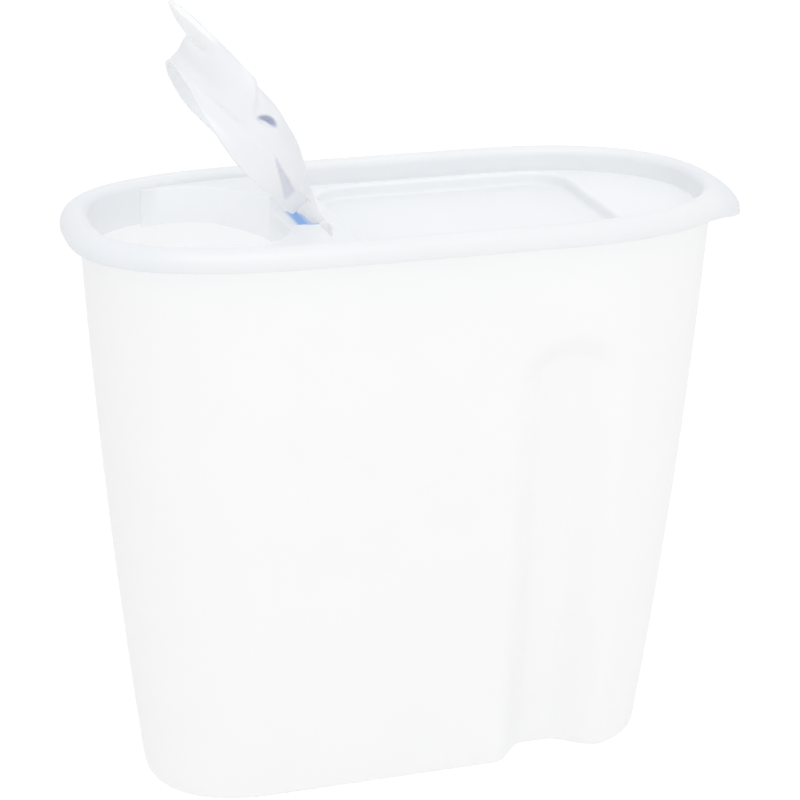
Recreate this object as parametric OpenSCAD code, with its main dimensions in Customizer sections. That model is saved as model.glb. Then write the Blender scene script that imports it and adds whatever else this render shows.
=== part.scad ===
// Cereal container with a push-on lid and a flip spout.
// Millimetres. +Z is up, the origin is under the middle of the lid at floor level,
// and the spout end points along -X.

/* [Container] */
// Height from the floor to the top of the lid's rim
total_h = 250; // [200:0.5:300]
// Length of the base
base_len = 224.2; // [200:0.1:240]
// Width of the base
base_w = 85.4; // [76:0.1:100]
// Length of each rounded end of the base
base_end = 48.2; // [42:0.1:60]
// Squareness of the base's rounded ends
base_power = 2.33; // [2:0.01:3]
// How far the base sits toward the spout end
base_shift = 4.6; // [0:0.1:8]
// Radius of the rounding around the base
base_round = 2.4; // [1:0.1:4]
// Outward bow of the walls at half height
wall_bow = 2.1; // [0:0.1:4]
// Thickness of the container's walls
wall_t = 1.6; // [1.2:0.1:2.4]
// Thickness of the container's floor
floor_t = 2.2; // [1.6:0.1:4]
// Height of the straight neck that the lid fits
neck_h = 14; // [13.5:0.5:20]

/* [Finger grips] */
// Height of the top of each grip's arch
grip_h = 203; // [150:1:210]
// Where the grips start behind the middle of the lid
grip_x0 = 31; // [20:1:40]
// Where the grips end behind the middle of the lid
grip_x1 = 82; // [76:1:86]
// Depth of the grips at the floor
grip_depth = 13.8; // [6:0.1:15]
// Depth of the grips just under the arch
grip_top_depth = 3.2; // [1:0.1:5]
// Length over which the steep side of a grip falls
grip_steep = 17; // [10:0.5:20]
// Length over which the gentle side of a grip falls
grip_gentle = 23; // [18:0.5:28]
// Drop of the arch from its crown to its sides
grip_arch = 15; // [8:0.5:25]

/* [Lid] */
// Length of the lid
lid_len = 278; // [260:0.5:290]
// Width of the lid
lid_w = 136; // [126:0.5:144]
// Length of the rounded spout end
spout_end = 107; // [95:0.5:115]
// Squareness of the spout end
spout_power = 2.83; // [2.4:0.01:3.2]
// Length of the rounded back end
back_end = 91; // [80:0.5:105]
// Squareness of the back end
back_power = 2.29; // [2.1:0.01:2.8]
// Radius of the rolled rim
rim_r = 7.4; // [6.5:0.1:8]
// Width of the rim from its outside to its inner face
rim_w = 11.2; // [11:0.1:13]
// Reach of the lift tab at the back end of the rim
tab_reach = 5.5; // [3:0.1:6]
// Width of the lift tab
tab_w = 100; // [60:1:110]
// Fall of the lift tab's edge below the rim
tab_drop = 3; // [0:0.1:3.5]
// Thickness of the lid's walls
lid_t = 1.7; // [1.3:0.1:2]
// Gap between the lid's rim and the container's rolled lip
rim_gap = 0.3; // [0.2:0.05:0.6]
// Depth of the rim's inner wall below the rim's top
plug_h = 13; // [12:0.1:13.5]
// Depth of the deck below the rim's top
deck_drop = 10; // [9:0.1:10.5]
// Depth of the sunken panel below the deck
panel_drop = 6; // [3:0.1:8]
// Distance from the hinge to the sunken panel
panel_from_hinge = 11; // [7:0.5:25]
// Distance from the back of the lid to the sunken panel
panel_from_back = 53; // [51:0.5:70]
// Width of the deck beside the sunken panel
panel_margin = 4.3; // [3:0.1:12]
// Corner radius of the sunken panel
panel_r = 16; // [8:0.5:20]

/* [Spout] */
// Depth of the pouring well's wall below the rim's top
well_h = 18.5; // [16:0.1:24]
// Depth of the ledge beside the well below the rim's top
ledge_drop = 4; // [3.5:0.1:5]
// Distance from the hinge to the front end of the well's side walls
well_reach = 63; // [50:0.5:70]
// Distance from the hinge to the front end of the ledge's back wall
ledge_back = 3; // [2.5:0.1:4]
// Gap between the flip cover and the well
cover_gap = 0.6; // [0.5:0.05:0.8]

/* [Flip cover] */
// How far the cover stands open, in degrees
open_angle = 48; // [30:1:70]
// Distance from the hinge to the back of the cover
cover_start = 12; // [10:0.1:14]
// Length of the cover
cover_len = 75.2; // [72:0.1:77]
// Distance from the rim's inner face to the side of the cover
cover_margin = 7.8; // [7.4:0.1:10]
// Squareness of the cover's outline
cover_power = 2.2; // [2:0.01:2.4]
// Height of the cover's top above the hinge axis
cover_top = 21.6; // [15:0.1:24]
// Depth of the cover's skirt below the hinge axis
cover_skirt = 4.5; // [3:0.1:4.6]
// Extra depth of the skirt at the middle of its length
skirt_belly = 2; // [0:0.1:2.5]
// How far the skirt's edge rises at the front
skirt_rise = 6; // [0:0.1:7]
// How far the back of the cover slopes in
cover_slope = 46; // [30:0.1:50]
// How far the sides of the cover slope in
cover_side_slope = 12; // [6:0.1:14]
// Thickness of the cover
cover_t = 1.6; // [1.2:0.1:2]
// How far the seat bead stands out of the cover
bead_out = 1.5; // [1.4:0.1:2]
// Height of the seat bead
bead_h = 1.6; // [1:0.1:2]
// Reach of the thumb lip past the cover's front
lip_reach = 16; // [8:0.5:17]
// Width of the thumb lip
lip_w = 30; // [20:0.5:40]
// Thickness of the thumb lip at its root
lip_t = 7.2; // [4:0.1:8]
// Thickness of the thumb lip at its edge
lip_edge = 2; // [1.4:0.1:3]

/* [Hinge] */
// Distance of the hinge axis from the spout end of the lid
hinge_from_front = 102; // [101:0.1:103]
// Depth of the hinge axis below the rim's top
hinge_drop = 6.9; // [6.6:0.1:7]
// Radius of the cover's hinge barrel
barrel_r = 2.6; // [2.4:0.05:2.7]
// Length of the hinge barrel
barrel_len = 33; // [24:0.5:34]
// Radius of the hinge pins
pin_r = 1.6; // [1.2:0.05:1.7]
// Running clearance around the hinge pins
pin_gap = 0.06; // [0.03:0.01:0.1]
// Thickness of each hinge ear
ear_t = 2.6; // [2:0.1:3]
// Gap between the barrel and each ear
ear_gap = 0.4; // [0.3:0.05:0.6]
// Radius of the hinge ears
ear_r = 2.8; // [2.7:0.05:2.9]

/* [Hidden] */

container_colour = [0.93, 0.93, 0.92];
lid_colour = [0.80, 0.85, 0.93];
cover_colour = [0.76, 0.82, 0.93];

// Steps around a quarter of the cover's oval
quarter_steps = 18;
// Steps of an arc in a rolled rim
arc_steps = 3;
// Steps in the container's outline before, along and behind a grip
front_steps = 14;
grip_steps = 14;
back_steps = 8;
// Length of the clear wall left before and behind the grips
grip_margin = 3;
// Steps of the container's height below, in and above the grip's arch
low_steps = 7;
arch_steps = 5;
high_steps = 2;
round_steps = 3;
// Height over which the grip's arch blends into the wall
arch_blend = 12;
cover_rings = 9;
ear_facets = 64;
// Length over which the seat bead and the thumb lip fade into the cover
bead_fade = 7;
lip_blend = 6;
// Fall of the thumb lip's top toward its edge
lip_dip = 1.6;
// Distance from the edge of the cover's top to its level middle
flat_inset = 6;
// Length over which the skirt's edge rises at the front
rise_len = 12;
// Half thickness of the tongue between the hinge barrel and the cover
tongue_half = 2;
tongue_steps = 8;
// Room beside the hinge ears in the ledge's notch
notch_room = 1;
eps = 0.01;

// An oval is [middle x, half length, half width, front end, front power, back end, back power].
lid_oval = [0, lid_len / 2, lid_w / 2, spout_end, spout_power, back_end, back_power];
base_oval = [-base_shift, base_len / 2, base_w / 2, base_end, base_power, base_end, base_power];

// The container's wall lies under the roll of the rim and clear of the rim's inner wall.
inner_wall_out = rim_w - lid_t;
lip_r = rim_r - lid_t - rim_gap;
neck_inset = inner_wall_out - rim_gap - wall_t;
neck_z = total_h - neck_h;
lip_z = total_h - rim_r;
rim_drop = rim_r + 0.6;
deck_z = total_h - deck_drop;
panel_z = deck_z - panel_drop;
ledge_z = total_h - ledge_drop;
hinge_z = total_h - hinge_drop;

hinge_x = lid_len / 2 - hinge_from_front;
panel_x0 = panel_from_hinge - hinge_x;
panel_x1 = lid_len / 2 - panel_from_back;
panel_w = lid_w - 2 * (rim_w + panel_margin);
cover_w = lid_w - 2 * (rim_w + cover_margin);
hinge_half = barrel_len / 2 + ear_gap + ear_t + notch_room;

// The flip cover is drawn closed about the hinge axis: s runs forward and t runs up.
cover_half = cover_len / 2;
cover_mid = cover_start + cover_half;
bead_t0 = hinge_drop - ledge_drop + rim_gap;
bead_t1 = bead_t0 + bead_h;
well_front_x = -hinge_x - well_reach;
ledge_back_x = -hinge_x - ledge_back;

// The lift tab makes the back end longer, so the parts sit forward by half its reach.
module placed() {
    translate([-tab_reach / 2, 0, 0])
        children();
}

function mix(a, b, u) = a + (b - a) * u;
function smooth(v) = let (c = min(max(v, 0), 1)) c * c * (3 - 2 * c);
function inset(o, d) = [o[0], o[1] - d, o[2] - d, o[3] - d, o[4], o[5] - d, o[6]];
function front_x(o) = o[0] - o[1];
function back_x(o) = o[0] + o[1];

// Half width of an oval at x
function half_width(o, x) =
    let (dx = x - o[0],
         e = dx < 0 ? o[3] : o[5],
         p = dx < 0 ? o[4] : o[6],
         u = min(max((abs(dx) - (o[1] - e)) / e, 0), 1))
    o[2] * pow(1 - pow(u, p), 1 / p);

function signed_pow(v, p) = (v < 0 ? -1 : 1) * pow(abs(v), p);

// Points around an oval, counterclockwise from its back end
function oval_points(o) =
    [for (i = [0 : 4 * quarter_steps - 1])
        let (a = 90 * i / quarter_steps,
             c = cos(a),
             s = sin(a),
             front = i > quarter_steps && i <= 3 * quarter_steps,
             e = front ? o[3] : o[5],
             p = front ? o[4] : o[6],
             straight = o[1] - e)
        [o[0] + (front ? -straight : straight) + e * signed_pow(c, 2 / p),
         o[2] * signed_pow(s, 2 / p)]];

// Faces that join rings of n points each, from the first ring to the last
function skin(n, rings) =
    [for (r = [0 : rings - 2]) for (i = [0 : n - 1])
        let (a = r * n + i, b = r * n + (i + 1) % n)
        each [[a, b, b + n], [a, b + n, a + n]]];

function flat(rings) = [for (ring = rings) each ring];

// A closed shell: the first ring's face looks down and the last ring's face looks up.
module shell(rings) {
    n = len(rings[0]);
    m = len(rings);
    caps = [[for (i = [0 : n - 1]) n - 1 - i], [for (i = [0 : n - 1]) (m - 1) * n + i]];
    polyhedron(flat(rings), [for (f = concat(caps, skin(n, m))) [for (k = [len(f) - 1 : -1 : 0]) f[k]]]);
}

// A closed band: the last ring joins the first.
module band(rings) {
    n = len(rings[0]);
    m = len(rings);
    faces = [for (r = [0 : m - 1]) for (i = [0 : n - 1])
        let (a = r * n + i, b = r * n + (i + 1) % n,
             c = ((r + 1) % m) * n + (i + 1) % n, d = ((r + 1) % m) * n + i)
        each [[c, b, a], [d, c, a]]];
    polyhedron(flat(rings), faces);
}

// The container's oval at height z: the ends and sides blend from the base to the neck.
function body_oval(z) =
    let (u = min(max(z / neck_z, 0), 1),
         neck = inset(lid_oval, neck_inset),
         bow = wall_bow * 4 * u * (1 - u))
    [mix(base_oval[0], neck[0], u),
     mix(base_oval[1], neck[1], u) + bow,
     mix(base_oval[2], neck[2], u) + bow,
     mix(base_oval[3], neck[3], u),
     mix(base_oval[4], neck[4], u),
     mix(base_oval[5], neck[5], u),
     mix(base_oval[6], neck[6], u)];

// Depth of a finger grip at x and height z
function grip_at(x, z) =
    let (mid = (grip_x0 + grip_x1) / 2,
         reach = (grip_x1 - grip_x0) / 2,
         crown = grip_h - grip_arch * pow(min(abs(x - mid) / reach, 1), 2),
         depth = mix(grip_depth, grip_top_depth, min(z / grip_h, 1)))
    depth * smooth((x - grip_x0) / grip_steep) * smooth((grip_x1 - x) / grip_gentle)
          * smooth((crown - z) / arch_blend);

// Stations along the length: around both ends, and closer together along the grips
function stations(o) =
    let (g0 = grip_x0 - grip_margin,
         g1 = grip_x1 + grip_margin,
         front_mid = front_x(o) + o[3],
         back_mid = back_x(o) - o[5],
         turn = acos(pow(max(g1 - back_mid, 0) / o[5], o[6] / 2)))
    concat(
        [for (i = [0 : front_steps]) front_mid - o[3] * pow(cos(90 * i / front_steps), 2 / o[4])],
        [for (i = [0 : grip_steps]) mix(g0, g1, i / grip_steps)],
        [for (i = [back_steps - 1 : -1 : 0]) back_mid + o[5] * pow(cos(turn * i / back_steps), 2 / o[6])]);

// Outline of an oval through its stations, along the near side and back along the far side.
// A grip at height z draws it in.
function around(o, z = grip_h) =
    let (xs = stations(o),
         last = len(xs) - 1,
         ys = [for (x = xs) half_width(o, x) - grip_at(x, z)])
    concat(
        [for (i = [0 : last]) [xs[i], -ys[i], z]],
        [for (i = [last - 1 : -1 : 1]) [xs[i], ys[i], z]]);

// Outline of the container at height z, drawn in by d all round
function body_ring(z, d) = around(inset(body_oval(z), d), z);

// Outline under the lid's rim at a distance in from the lid's own outline
function lip_ring(d, z) = [for (p = around(inset(lid_oval, d))) [p[0], p[1], z]];

arch_z = grip_h - grip_arch - arch_blend;
wall_heights = concat(
    [for (i = [0 : low_steps - 1]) mix(base_round, arch_z, i / low_steps)],
    [for (i = [0 : arch_steps - 1]) mix(arch_z, grip_h, i / arch_steps)],
    [for (i = [0 : high_steps]) mix(grip_h, neck_z, i / high_steps)]);

// The container: one moulded shell with its grips, and a lip rolled over the neck
module container_shell() {
    bottom = [for (i = [0 : round_steps - 1])
        let (a = 90 * i / round_steps)
        [for (p = body_ring(base_round, base_round * (1 - sin(a)))) [p[0], p[1], base_round * (1 - cos(a))]]];
    outer = [for (z = wall_heights) body_ring(z, 0)];
    roll_in = [for (i = [0 : arc_steps])
        let (a = 90 - 90 * i / arc_steps, r = lip_r - wall_t)
        lip_ring(rim_r - r * cos(a), lip_z + r * sin(a))];
    roll_out = [for (i = [0 : arc_steps])
        let (a = 90 * i / arc_steps)
        lip_ring(rim_r - lip_r * cos(a), lip_z + lip_r * sin(a))];
    top = [lip_ring(neck_inset + wall_t, total_h - (rim_w - rim_r) - rim_gap)];
    inner = [for (i = [len(wall_heights) - 1 : -1 : 1]) body_ring(wall_heights[i], wall_t)];
    floor_ring = [body_ring(floor_t, wall_t)];
    color(container_colour)
        placed()
            shell(concat(bottom, outer, roll_in, roll_out, top, inner, floor_ring));
}

// How much of the lift tab shows at a point of the rim's outline
function tab_at(p) = p[0] > 0 ? smooth(2 - 4 * abs(p[1]) / tab_w) : 0;

// The lid's rolled rim, with the inner wall that plugs the container's neck and the lift tab
module lid_rim() {
    outer_arc = [for (i = [0 : arc_steps])
        let (a = 90 * i / arc_steps) [rim_r - rim_r * cos(a), lip_z + rim_r * sin(a)]];
    inner_r = rim_r - lid_t;
    inner_arc = [for (i = [arc_steps : -1 : 0])
        let (a = 90 * i / arc_steps) [rim_r - inner_r * cos(a), lip_z + inner_r * sin(a)]];
    crest = rim_w - rim_r;
    fall = [for (i = [1 : arc_steps])
        let (a = 90 * i / arc_steps) [rim_r + crest * sin(a), total_h - crest * (1 - cos(a))]];
    section = concat(
        [[lid_t, total_h - rim_drop], [lid_t / 4, total_h - rim_drop]],
        outer_arc,
        fall,
        [[rim_w, total_h - plug_h], [inner_wall_out, total_h - plug_h],
         [inner_wall_out, total_h - crest]],
        inner_arc);
    outer_rows = len(outer_arc) + 1;
    color(lid_colour)
        placed()
            band([for (i = [0 : len(section) - 1])
                let (s = section[i], out = i > 0 && i <= outer_rows ? pow(1 - s[0] / rim_r, 2) : 0)
                [for (p = lip_ring(s[0], s[1]))
                    let (tab = out * tab_at(p))
                    [p[0] + tab_reach * tab, p[1], p[2] - tab_drop * tab]]]);
}

// A rectangle from x0 to x1, w wide, with round corners
module round_panel(x0, x1, w, r) {
    corners = [[x1 - r, w / 2 - r, 0], [x0 + r, w / 2 - r, 90],
               [x0 + r, r - w / 2, 180], [x1 - r, r - w / 2, 270]];
    polygon([for (c = corners) for (a = [0 : 10 : 90])
        [c[0] + r * cos(c[2] + a), c[1] + r * sin(c[2] + a)]]);
}

module inside_rim() { polygon([for (p = lip_ring(rim_w, 0)) [p[0], p[1]]]); }

cover_oval = [-hinge_x - cover_mid, cover_half, cover_w / 2, cover_half, cover_power,
              cover_half, cover_power];

module well_outline(d) { polygon(oval_points(inset(cover_oval, d))); }

module slab(x0, x1) {
    translate([x0, -lid_w / 2])
        square([x1 - x0, lid_w]);
}

module raised(z0, z1) {
    translate([0, 0, z0])
        linear_extrude(z1 - z0)
            children();
}

// The deck behind the spout, around the opening for the sunken panel
module lid_deck() {
    color(lid_colour)
        placed()
            raised(deck_z - lid_t, deck_z)
                difference() {
                    intersection() {
                        inside_rim();
                        union() {
                            slab(ledge_back_x, lid_len / 2);
                            hinge_floor();
                        }
                    }
                    well_outline(-cover_gap - lid_t);
                    round_panel(panel_x0, panel_x1, panel_w, panel_r);
                }
}

// The shallow tray that hangs from the deck
module sunken_panel() {
    color(lid_colour)
        placed()
            difference() {
                raised(panel_z - lid_t, deck_z - lid_t)
                    round_panel(panel_x0 - lid_t, panel_x1 + lid_t, panel_w + 2 * lid_t, panel_r + lid_t);
                raised(panel_z, deck_z)
                    round_panel(panel_x0, panel_x1, panel_w, panel_r);
            }
}

// Floor of the notch that the cover's tongue lies in
module hinge_floor() {
    translate([-hinge_x - cover_start - notch_room, -hinge_half])
        square([cover_start - ledge_back + notch_room, 2 * hinge_half]);
}

// The wall around the pouring mouth, open at the front and low under the cover's tongue
module pouring_well() {
    module wall_outline() {
        intersection() {
            difference() {
                well_outline(-cover_gap - lid_t);
                well_outline(-cover_gap);
            }
            inside_rim();
            slab(well_front_x, 0);
        }
    }
    color(lid_colour)
        placed() {
            raised(total_h - well_h, deck_z)
                wall_outline();
            raised(deck_z, ledge_z)
                difference() {
                    wall_outline();
                    translate([-hinge_x - cover_start - cover_half, -hinge_half])
                        square([cover_half + cover_start, 2 * hinge_half]);
                }
        }
}

// The ledge beside the well that the cover seats on, with its back wall and the notch's sides
module seat_ledge() {
    module around_well() {
        difference() {
            inside_rim();
            well_outline(-cover_gap - lid_t);
            slab(ledge_back_x, 0);
        }
    }
    module notch(room) {
        translate([-hinge_x - cover_start - cover_half, -hinge_half - room])
            square([cover_half + cover_start, 2 * (hinge_half + room)]);
    }
    color(lid_colour)
        placed() {
            raised(ledge_z - lid_t, ledge_z)
                difference() {
                    intersection() {
                        around_well();
                        slab(well_front_x, 0);
                    }
                    notch(0);
                }
            raised(deck_z - lid_t, ledge_z - lid_t)
                difference() {
                    intersection() {
                        around_well();
                        union() {
                            slab(ledge_back_x - lid_t, ledge_back_x);
                            notch(lid_t);
                        }
                    }
                    notch(0);
                }
        }
}

// Two ears on the deck that hold the cover's hinge pins
module hinge_ears() {
    color(lid_colour)
        placed()
            for (side = [-1, 1])
                translate([-hinge_x, side * (barrel_len / 2 + ear_gap + ear_t / 2), 0])
                    difference() {
                        union() {
                            translate([0, 0, hinge_z])
                                rotate([90, 0, 0])
                                    cylinder(r = ear_r, h = ear_t, center = true, $fn = ear_facets);
                            translate([-ear_r, -ear_t / 2, deck_z])
                                cube([2 * ear_r, ear_t, deck_drop - hinge_drop]);
                        }
                        translate([0, 0, hinge_z])
                            rotate([90, 0, 0])
                                cylinder(r = pin_r + pin_gap, h = 2 * ear_t, center = true, $fn = ear_facets);
                    }
}

// Places a closed cover part, drawn about the hinge axis, at the angle it stands open
module opened() {
    placed()
        translate([-hinge_x, 0, hinge_z])
            rotate([0, open_angle, 0])
                children();
}

// How far the domed cover has sloped in at height t, from 0 above the bead to 1 at the top
function dome_at(t) = 1 - sqrt(1 - min(max((t - bead_t1) / (cover_top - bead_t1), 0), 1));

// How much of the thumb lip's reach shows at height t and a distance y off the middle
function lip_at(t, y) =
    sqrt(min(max((t - cover_top + lip_t) / (lip_t - lip_edge), 0), 1))
    * smooth((lip_w / 2 + lip_blend / 2 - abs(y)) / lip_blend);

// Distance of the bead's edge from the cover's wall, which fades out where the well's wall ends
function bead_reach(s) = bead_out * smooth((well_reach - s) / bead_fade);

// Height of the skirt's edge over the length of the cover
function skirt_edge(s) =
    skirt_rise * pow(max((s - cover_start - cover_len + rise_len) / rise_len, 0), 2)
    - skirt_belly * max(1 - pow((s - cover_mid) / cover_half, 2), 0);

// Outline of the closed cover at height t and d inside its outer surface
function cover_ring(t, d = 0, bead = 0, edge = 0) =
    let (slope = dome_at(min(t + d, cover_top)),
         s0 = cover_start + cover_slope * slope,
         s1 = cover_start + cover_len,
         half = (s1 - s0) / 2,
         side = cover_w / 2 - cover_side_slope * slope,
         o = inset([(s0 + s1) / 2, half, side, half, cover_power, half, cover_power], d))
    [for (p = oval_points(o))
        let (lip = p[0] > o[0] && d == 0 ? lip_at(t, p[1]) : 0,
             out = bead * bead_reach(p[0]),
             ray = [(p[0] - o[0]) / (half * half), p[1] / (side * side)] * half * side,
             rise = edge * skirt_edge(p[0]) - lip_dip * lip)
        [-p[0] - lip_reach * lip - out * ray[0] / norm(ray),
         -p[1] - out * ray[1] / norm(ray),
         t + rise]];

// The flip cover: a domed cap with a skirt that drops into the well, a bead that seats it
// on the ledge, and a lip for the thumb
module flip_cover() {
    outer = [for (i = [1 : cover_rings])
        cover_ring(mix(bead_t1, cover_top, 1 - pow(1 - i / cover_rings, 2)))];
    inner_top = cover_top - cover_t;
    inner = [for (i = [0 : cover_rings])
        cover_ring(mix(bead_t1, inner_top, 1 - pow(i / cover_rings, 2)), cover_t)];
    color(cover_colour)
        opened()
            shell(concat(
                inner,
                [cover_ring(-cover_skirt, cover_t, edge = 1),
                 cover_ring(-cover_skirt, edge = 1),
                 cover_ring(bead_t0),
                 cover_ring(bead_t0 + eps, bead = 1),
                 cover_ring(bead_t1 - eps, bead = 1),
                 cover_ring(bead_t1)],
                outer,
                [cover_ring(cover_top, flat_inset)]));
}

// The barrel behind the cover, with a pin at each end and a tongue that joins it to the cover
module hinge_barrel() {
    pin_len = barrel_len + 2 * (ear_gap + ear_t);
    half_w = barrel_len / 2;
    function back_of_cover(y) =
        cover_mid - cover_half * pow(1 - pow(abs(y) / (cover_w / 2), cover_power), 1 / cover_power);
    color(cover_colour)
        opened() {
            rotate([90, 0, 0]) {
                cylinder(r = barrel_r, h = barrel_len, center = true, $fn = ear_facets);
                cylinder(r = pin_r, h = pin_len, center = true, $fn = ear_facets);
            }
            translate([0, 0, -tongue_half])
                linear_extrude(2 * tongue_half)
                    polygon(concat(
                        [[0, -half_w], [0, half_w]],
                        [for (i = [tongue_steps : -1 : -tongue_steps])
                            let (y = half_w * i / tongue_steps)
                            [-back_of_cover(y), y]]));
        }
}

container_shell();
lid_rim();
lid_deck();
sunken_panel();
pouring_well();
seat_ledge();
hinge_ears();
flip_cover();
hinge_barrel();
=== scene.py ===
"""Looks for a dry-food keeper: a milky tub, a pale blue lid and its hinged flip cover."""

from __future__ import annotations

import logging
import math
from dataclasses import astuple, dataclass, field, replace
from enum import Enum
from typing import Callable, Sequence

import bmesh
import bpy
import numpy as np
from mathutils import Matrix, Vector

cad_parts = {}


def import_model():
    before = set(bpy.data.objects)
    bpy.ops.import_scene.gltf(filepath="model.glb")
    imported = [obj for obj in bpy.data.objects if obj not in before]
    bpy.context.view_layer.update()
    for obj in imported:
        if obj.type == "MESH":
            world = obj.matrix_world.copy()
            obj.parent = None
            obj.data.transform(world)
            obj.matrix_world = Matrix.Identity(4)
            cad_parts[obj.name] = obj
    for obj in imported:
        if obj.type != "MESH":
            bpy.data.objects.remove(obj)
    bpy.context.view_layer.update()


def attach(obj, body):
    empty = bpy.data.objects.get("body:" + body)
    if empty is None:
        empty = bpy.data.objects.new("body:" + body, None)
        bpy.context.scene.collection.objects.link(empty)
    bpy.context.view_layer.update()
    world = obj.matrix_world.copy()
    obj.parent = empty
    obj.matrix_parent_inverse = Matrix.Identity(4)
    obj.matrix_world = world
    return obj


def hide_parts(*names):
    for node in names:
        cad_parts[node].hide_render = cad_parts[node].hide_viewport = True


LOG = logging.getLogger("keeper")
MM = 0.001
MERGE_DIST = 1e-6
SLIVER_DIST = 1e-7
FINE_STEPS = 4001
HALVINGS = 40
ROOM_LIMIT = 120.0
# Keeps neighbouring points of a section apart, in millimetres.
HAIR = 0.01
# Name of the mesh attribute of painted shading: above 0 painted shade, below 0 painted light.
SHADING_KEY = "painted_shading_share"
# The colour inputs and output of a Mix node, whose names repeat for each type of data.
MIX_A, MIX_B, MIX_RESULT = 6, 7, 2

Ring = np.ndarray
Share = np.ndarray
Flat = tuple[float, float]
Point = tuple[float, float, float]
Colour = tuple[float, float, float]


class Finish(Enum):
    """The three plastics, by the name of their slot in the record."""

    TUB = "container_plastic"
    LID = "lid_plastic"
    COVER = "cover_plastic"


# ---------------------------------------------------------------- outlines and meshes


def eased(v: np.ndarray | float, start: np.ndarray | float, stop: np.ndarray | float) -> Share:
    """Eases from 0 to 1 as v goes from start to stop.

    Args:
        v: One or more values.
        start: Where the share is still 0.
        stop: Where the share is 1, on either side of start.

    Returns:
        The share for each value, held past both ends.
    """
    c = np.clip((v - start) / (stop - start), 0.0, 1.0)
    return c * c * (3.0 - 2.0 * c)


def mix(a: float, b: float, u: float) -> float:
    """The value a share u of the way from a to b."""
    return a + (b - a) * u


@dataclass(frozen=True)
class Oval:
    """A straight-sided oval with its own length and squareness at each end, in millimetres."""

    mid: float
    half_len: float
    half_wid: float
    front_end: float
    front_power: float
    back_end: float
    back_power: float

    def inset(self, d: float) -> Oval:
        """The same oval drawn in all round.

        Args:
            d: How far it is drawn in, negative to grow it.

        Returns:
            The smaller oval.
        """
        return replace(
            self, half_len=self.half_len - d, half_wid=self.half_wid - d,
            front_end=self.front_end - d, back_end=self.back_end - d,
        )

    def toward(self, other: Oval, u: float) -> Oval:
        """The oval a share u of the way to another one."""
        return Oval(*(mix(a, b, u) for a, b in zip(astuple(self), astuple(other))))

    def half_width(self, x: np.ndarray | float) -> np.ndarray:
        """Half width of the oval at x.

        Args:
            x: One or more places along the length.

        Returns:
            The half width at each x, 0 past the ends.
        """
        dx = np.asarray(x, float) - self.mid
        end = np.where(dx < 0, self.front_end, self.back_end)
        power = np.where(dx < 0, self.front_power, self.back_power)
        u = np.clip((np.abs(dx) - (self.half_len - end)) / end, 0.0, 1.0)
        return self.half_wid * (1.0 - u**power) ** (1.0 / power)

    def outline(self, count: int) -> np.ndarray:
        """Points evenly spaced around the oval, from its back tip over the far side.

        Args:
            count: Number of points, a multiple of 2.

        Returns:
            An array of count rows of x and y, counterclockwise.
        """
        a = np.linspace(0.0, math.pi, FINE_STEPS)
        front = a > math.pi / 2
        end = np.where(front, self.front_end, self.back_end)
        power = np.where(front, self.front_power, self.back_power)
        c, s = np.cos(a), np.abs(np.sin(a))
        straight = np.where(front, -1.0, 1.0) * (self.half_len - end)
        x = self.mid + straight + end * np.sign(c) * np.abs(c) ** (2 / power)
        y = self.half_wid * s ** (2 / power)
        run = np.concatenate([[0.0], np.cumsum(np.hypot(np.diff(x), np.diff(y)))])
        at = np.linspace(0.0, run[-1], count // 2 + 1)
        half = np.column_stack([np.interp(at, run, x), np.interp(at, run, y)])
        return np.concatenate([half, half[-2:0:-1] * [1.0, -1.0]])


def arc(centre: Flat, radius: float, start: float, stop: float, steps: int) -> list[Flat]:
    """Points along an arc in a section.

    Args:
        centre: Middle of the arc.
        radius: Radius of the arc.
        start: First angle in degrees.
        stop: Last angle in degrees.
        steps: Number of steps between them.

    Returns:
        steps + 1 points.
    """
    angles = np.radians(np.linspace(start, stop, steps + 1))
    return [(centre[0] + radius * math.cos(t), centre[1] + radius * math.sin(t)) for t in angles]


def stack(outline: np.ndarray, z: float) -> Ring:
    """A flat ring of points at height z."""
    return np.column_stack([outline, np.full(len(outline), z)])


@dataclass
class MeshDraft:
    """Vertices and faces gathered in millimetres for one piece."""

    verts: list[np.ndarray] = field(default_factory=list)
    faces: list[tuple[int, ...]] = field(default_factory=list)
    count: int = 0

    def shell(self, rings: Sequence[Ring], capped: bool = True, looped: bool = False) -> None:
        """Joins rings of equal length, from the bottom up or from one end of a bar to the other.

        Args:
            rings: Closed rings, counterclockwise seen from the side that they run toward.
            capped: Close the first ring and the last one.
            looped: Join the last ring to the first.
        """
        n, m, first = len(rings[0]), len(rings), self.count
        self.verts.append(np.concatenate(rings).astype(float))
        self.count += n * m
        for r in range(m if looped else m - 1):
            a, b = first + r * n, first + ((r + 1) % m) * n
            for i in range(n):
                j = (i + 1) % n
                self.faces.append((a + i, a + j, b + j, b + i))
        if capped:
            self.faces.append(tuple(first + i for i in reversed(range(n))))
            self.faces.append(tuple(first + (m - 1) * n + i for i in range(n)))

    def build(
        self, name: str, sharp: float = 40.0,
        place: Callable[[np.ndarray], np.ndarray] | None = None,
        shading: Callable[[np.ndarray], Share] | None = None,
    ) -> bpy.types.Object:
        """Makes the object, in metres, with its doubles merged and its faces outward.

        Args:
            name: Name of the piece.
            sharp: Angle in degrees past which an edge stays crisp.
            place: Moves the points, in millimetres, before they are stored.
            shading: Share of painted shade, or of painted light below 0, at each point before it
                moves.

        Returns:
            The new object, linked to the scene.
        """
        points = np.concatenate(self.verts)
        painted_shading = np.zeros(len(points)) if shading is None else shading(points)
        if place is not None:
            points = place(points)
        mesh = bpy.data.meshes.new(name)
        mesh.from_pydata((points * MM).tolist(), [], self.faces)
        mesh.update()
        stored = mesh.attributes.new(SHADING_KEY, "FLOAT", "POINT")
        stored.data.foreach_set("value", painted_shading.astype(np.float32))
        obj = bpy.data.objects.new(name, mesh)
        bpy.context.scene.collection.objects.link(obj)
        turn_outward(mesh)
        mesh.shade_smooth()
        mesh.set_sharp_from_angle(angle=math.radians(sharp))
        return obj


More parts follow.
